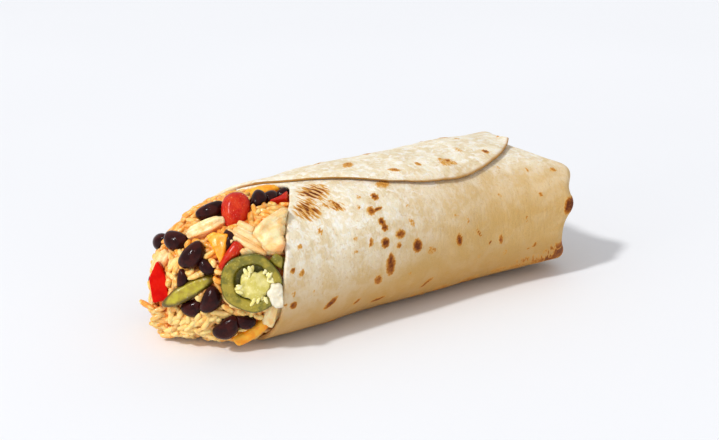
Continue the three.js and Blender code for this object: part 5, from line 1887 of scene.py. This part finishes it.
    def fits(self, matrix: Array, way: Array, size: float, over: Sequence[Solid]) -> bool:
        """Whether a grain lies clear of what is on the heap and hides none of it.

        Args:
            matrix: The grain's placing.
            way: The way out of the heap.
            size: Its length, as a share of a whole grain's.
            over: The pieces and, last, the tortilla.

        Returns:
            True if it does.
        """
        reach = matrix[:3, 0] * self.grain_length / 2 * size
        spine = [matrix[:3, 3] + reach * part for part in self.spine]
        if min(at[2] for at in spine) < self.grain_width * self.foot:
            return False
        depths = [max(solid.depth(at) for solid in over) for at in spine]
        middle, half, tip = self.deepest
        if depths[0] > middle or max(depths[1:3]) > half or max(depths[3:]) > tip:
            return False
        return not any(solid.behind(at, -ray, self.view_gap) for solid in over[:-1] for at in spine[:3]
                       for ray in (way, self.end.out))

    def grains(self, over: Sequence[Solid]) -> list[Form]:
        """All grains, each clear of what lies on the heap.

        Args:
            over: The pieces and, last, the tortilla.

        Returns:
            The grains' forms.
        """
        chance = np.random.default_rng(3)
        points, ways = self.candidates()
        placed = {level: np.zeros((0, 3)) for level in self.layers}
        grains = self.tuft()
        swirl, tone = Noise(41), Noise(42)
        spins, wide, apart = self.swirl
        jitter, tilt = self.uneven
        palest, less, span = self.pale
        size_of, together, alone = self.mottle
        for i, (point, way) in enumerate(zip(points, ways)):
            level = self.layers[i % len(self.layers)]
            if len(grains) >= self.most:
                break
            if len(placed[level]) and np.min(np.linalg.norm(placed[level] - point, axis=1)) < self.spacing:
                continue
            spin = spins * float(swirl.at(point, wide)) + chance.uniform(-apart, apart)
            at = point + way * (level + chance.uniform(-jitter, jitter))
            matrix = lying(at, way, spin, chance.uniform(-tilt, tilt))
            size = 1.0 if self.fits(matrix, way, 1.0, over) else self.short
            if size < 1:
                turns = [matrix @ np.array(Matrix.Rotation(math.radians(k), 4, "Z")) for k in self.turns]
                matrix = next((turned for turned in turns if self.fits(turned, way, size, over)), None)
                if matrix is None:
                    continue
            placed[level] = np.concatenate([placed[level], point[None]])
            matrix[:3, 0] *= size
            # Painted light: the lower grains are painted paler where less light reaches them, the higher ones
            # darker.
            low = palest - less * float(smooth(point[2], *span))
            pale = float(tone.at(point, size_of)) * together + chance.uniform(-alone, alone) + low
            # Deeper layers get more of the dark sauce colour, partly painted shade.
            grains.append(self.grain(matrix, i, pale, self.sauced_and_shaded[0] - self.sauced_and_shaded[1] * level))
        return grains

    def build(self, mount: Mount, over: Sequence[Solid]) -> None:
        """Makes the piece."""
        form = joined([self.core(), *self.grains(over)])
        mount.place("rice_heap", form, self.finish, "rice", ["rice_filling"])


# ---------------------------------------------------------------- finishes of the filling


def food_finishes() -> list[FoodFinish]:
    """What each slot of the filling looks like."""
    sauce = srgb(255, 196, 110)
    return [
        # The rice's skin colour is sauce, and painted shade on the core and the deeper grains.
        FoodFinish("rice", srgb(249, 170, 62), srgb(255, 221, 142), srgb(214, 110, 30), srgb(208, 92, 24),
                   sauce, 0.35, blotch=3.2, fleck_size=0.7, fleck_from=0.68, wet=0.2, dry=0.42, coat=0.2,
                   soft=0.3, bleed=(2.0, 1.1, 0.4), shine=0.35, bump_size=0.9, bump=0.07),
        FoodFinish("bean", srgb(38, 12, 12), srgb(60, 20, 16), srgb(104, 70, 60), srgb(84, 34, 30),
                   fleck_from=0.7, wet=0.07, dry=0.2, coat=0.12, soft=0.0, shine=0.1, bump_size=1.4,
                   bump=0.16),
        FoodFinish("tomato", srgb(198, 27, 4), srgb(214, 56, 14), srgb(184, 20, 4), srgb(246, 150, 90),
                   wet=0.1, dry=0.28, coat=0.2, coat_rough=0.2, soft=0.1, bleed=(2.2, 0.5, 0.2), shine=0.14,
                   fleck_from=0.64, bump_size=0.6, bump=0.5),
        FoodFinish("pepper", srgb(200, 6, 0), srgb(212, 18, 2), srgb(176, 4, 0), srgb(226, 60, 24),
                   wet=0.2, dry=0.34, coat=0.05, soft=0.05, bleed=(1.6, 0.3, 0.1), shine=0.08,
                   fleck_from=0.74, bump=0.06),
        FoodFinish("cheddar", srgb(250, 156, 14), srgb(255, 184, 50), srgb(240, 130, 10), srgb(255, 212, 110),
                   wet=0.28, dry=0.5, coat=0.12, soft=0.3, bleed=(2.4, 1.1, 0.2), shine=0.3, fleck_from=0.66,
                   bump=0.10),
        FoodFinish("cheese", srgb(230, 219, 190), srgb(238, 230, 206), srgb(236, 216, 178),
                   srgb(250, 218, 164), wet=0.3, dry=0.55, coat=0.1, soft=0.3, bleed=(2.4, 2.0, 1.4),
                   fleck_from=0.68, bump=0.2),
        FoodFinish("chicken", srgb(255, 236, 184), srgb(253, 212, 142), srgb(240, 156, 76),
                   srgb(228, 118, 50), sauce, 0.25, wet=0.22, dry=0.48, coat=0.15, soft=0.3,
                   bleed=(2.2, 1.3, 0.6), shine=0.35, fleck_from=0.68, bump=0.24, fibre=1.3),
        # Its skin colour is the real skin on the ring's outside and painted shade on the floor of its hollow.
        FoodFinish("jalapeno", srgb(170, 150, 50), srgb(122, 114, 36), srgb(82, 82, 18), srgb(200, 188, 90),
                   wet=0.1, dry=0.28, coat=0.3, soft=0.15, bleed=(1.4, 1.2, 0.3), shine=0.3, fleck_from=0.62,
                   bump=0.22),
        # Its skin colour is partly real skin, partly painted shade along the wedge's lower side.
        FoodFinish("jalapeno_slice", srgb(186, 172, 52), srgb(160, 138, 40), srgb(96, 78, 18),
                   srgb(218, 206, 90), wet=0.12, dry=0.3, coat=0.25, soft=0.2, bleed=(1.4, 1.3, 0.3),
                   shine=0.3, fleck_from=0.66, bump=0.16),
        FoodFinish("jalapeno_pith", srgb(208, 194, 96), srgb(226, 214, 138), srgb(180, 166, 60),
                   srgb(240, 232, 172), wet=0.14, dry=0.34, coat=0.3, soft=0.3, bleed=(1.6, 1.5, 0.6),
                   shine=0.3, bump=0.24),
        FoodFinish("jalapeno_seeds", srgb(238, 222, 132), srgb(248, 238, 176), srgb(210, 190, 88),
                   srgb(250, 244, 204), wet=0.16, dry=0.34, coat=0.3, soft=0.25, bleed=(1.4, 1.3, 0.7),
                   shine=0.3, bump=0.06),
    ]


# ---------------------------------------------------------------- the studio


@dataclass(frozen=True)
class Studio:
    """The floor, the lights and the camera."""

    floor_size: float = 9.0
    floor_colour: Colour = srgb(238, 239, 241)
    floor_cloud: Colour = srgb(240, 241, 243)
    floor_rough: float = 0.8
    sky: Colour = srgb(250, 251, 255)
    sky_strength: float = 0.66
    sun_way: Triple = (0.69, 0.07, -0.78)
    sun_strength: float = 1.84
    sun_spread: float = 6.0
    fill_at: Triple = (-0.86, -0.06, 0.2)
    fill_size: float = 0.3
    fill_power: float = 1.0
    heading: float = 36.3
    height: float = 20.3
    distance: float = 0.842
    target: Triple = (0.8, 5.7, 35.0)
    lens: float = 90.13
    sensor: float = 36.0
    clip: Pair = (0.01, 50.0)

    def floor(self) -> bpy.types.Object:
        """The pale plane that the burrito lies on."""
        half = self.floor_size / 2
        mesh = bpy.data.meshes.new("floor")
        corners = [(-half, -half, 0), (half, -half, 0), (half, half, 0), (-half, half, 0)]
        mesh.from_pydata(corners, [], [(0, 1, 2, 3)])
        material, tree, shader = surface("floor_finish")
        cloud = tree.step(tree.noise(tree.node("ShaderNodeTexCoord").outputs["Object"], 3.0), 0.3, 0.7)
        colour = tree.mix(cloud, self.floor_colour, self.floor_cloud)
        tree.feed(shader, {"Base Color": colour, "Roughness": self.floor_rough})
        mesh.materials.append(material)
        return linked("floor", mesh)

    @property
    def aim(self) -> Array:
        """What the camera looks at, in metres in the row frame."""
        return (np.array(self.target) - ORIGIN) * MM

    @staticmethod
    def facing(back: Array, at: Array) -> Array:
        """The matrix of a lamp or a camera at a place, level and with its back to a way."""
        side = unit(np.cross(UP, back))
        return basis(side, np.cross(back, side), back, at)

    def lights(self) -> None:
        """A soft sun from the left, an even pale sky and a weak lamp towards the open end."""
        world = bpy.data.worlds.new("sky")
        world.use_nodes = True
        sky = world.node_tree.nodes["Background"]
        sky.inputs["Color"].default_value = self.sky
        sky.inputs["Strength"].default_value = self.sky_strength
        bpy.context.scene.world = world
        lamp = bpy.data.lights.new("sun", "SUN")
        lamp.energy, lamp.angle = self.sun_strength, math.radians(self.sun_spread)
        back = -unit(np.array(self.sun_way))
        side = unit(np.cross(back, UP))
        linked("sun", lamp, basis(side, np.cross(back, side), back, back))
        lamp = bpy.data.lights.new("fill", "AREA")
        lamp.energy, lamp.size = self.fill_power, self.fill_size
        at = np.array(self.fill_at)
        linked("fill", lamp, self.facing(unit(at - self.aim), at)).visible_glossy = False

    def camera(self) -> None:
        """The camera, at the open end's side and a little above."""
        back = aslant(self.heading, self.height)
        lens = bpy.data.cameras.new("camera")
        lens.lens, lens.sensor_width = self.lens, self.sensor
        lens.clip_start, lens.clip_end = self.clip
        place = self.facing(back, self.aim + back * self.distance)
        bpy.context.scene.camera = linked("camera", lens, place)

    def build(self) -> None:
        """Makes all of it."""
        self.floor()
        self.lights()
        self.camera()
        bpy.context.scene.view_settings.view_transform = "Standard"


def main() -> None:
    """Builds the burrito, piece by piece."""
    logging.basicConfig(level=logging.INFO, format="%(name)s %(message)s")
    effects, mount = Effects(), Mount()
    roll, end = RollForm(), OpenEnd(HeapForm())
    finishes = {finish.name: finish.build(effects) for finish in food_finishes()}
    wrap = Tortilla(roll, TortillaFinish().build(effects)).build(mount)
    filling = Filling(end, roll, finishes)
    filling.build(mount)
    near = [face for face in wrap.faces if all(wrap.points[corner, 0] < -20 for corner in face)]
    Rice(roll, end, finishes["rice"]).build(mount, [*filling.solids, Solid(Form(wrap.points, near))])
    Studio().build()
    LOG.info("%d pieces", mount.count)


if __name__ == "__main__":
    main()
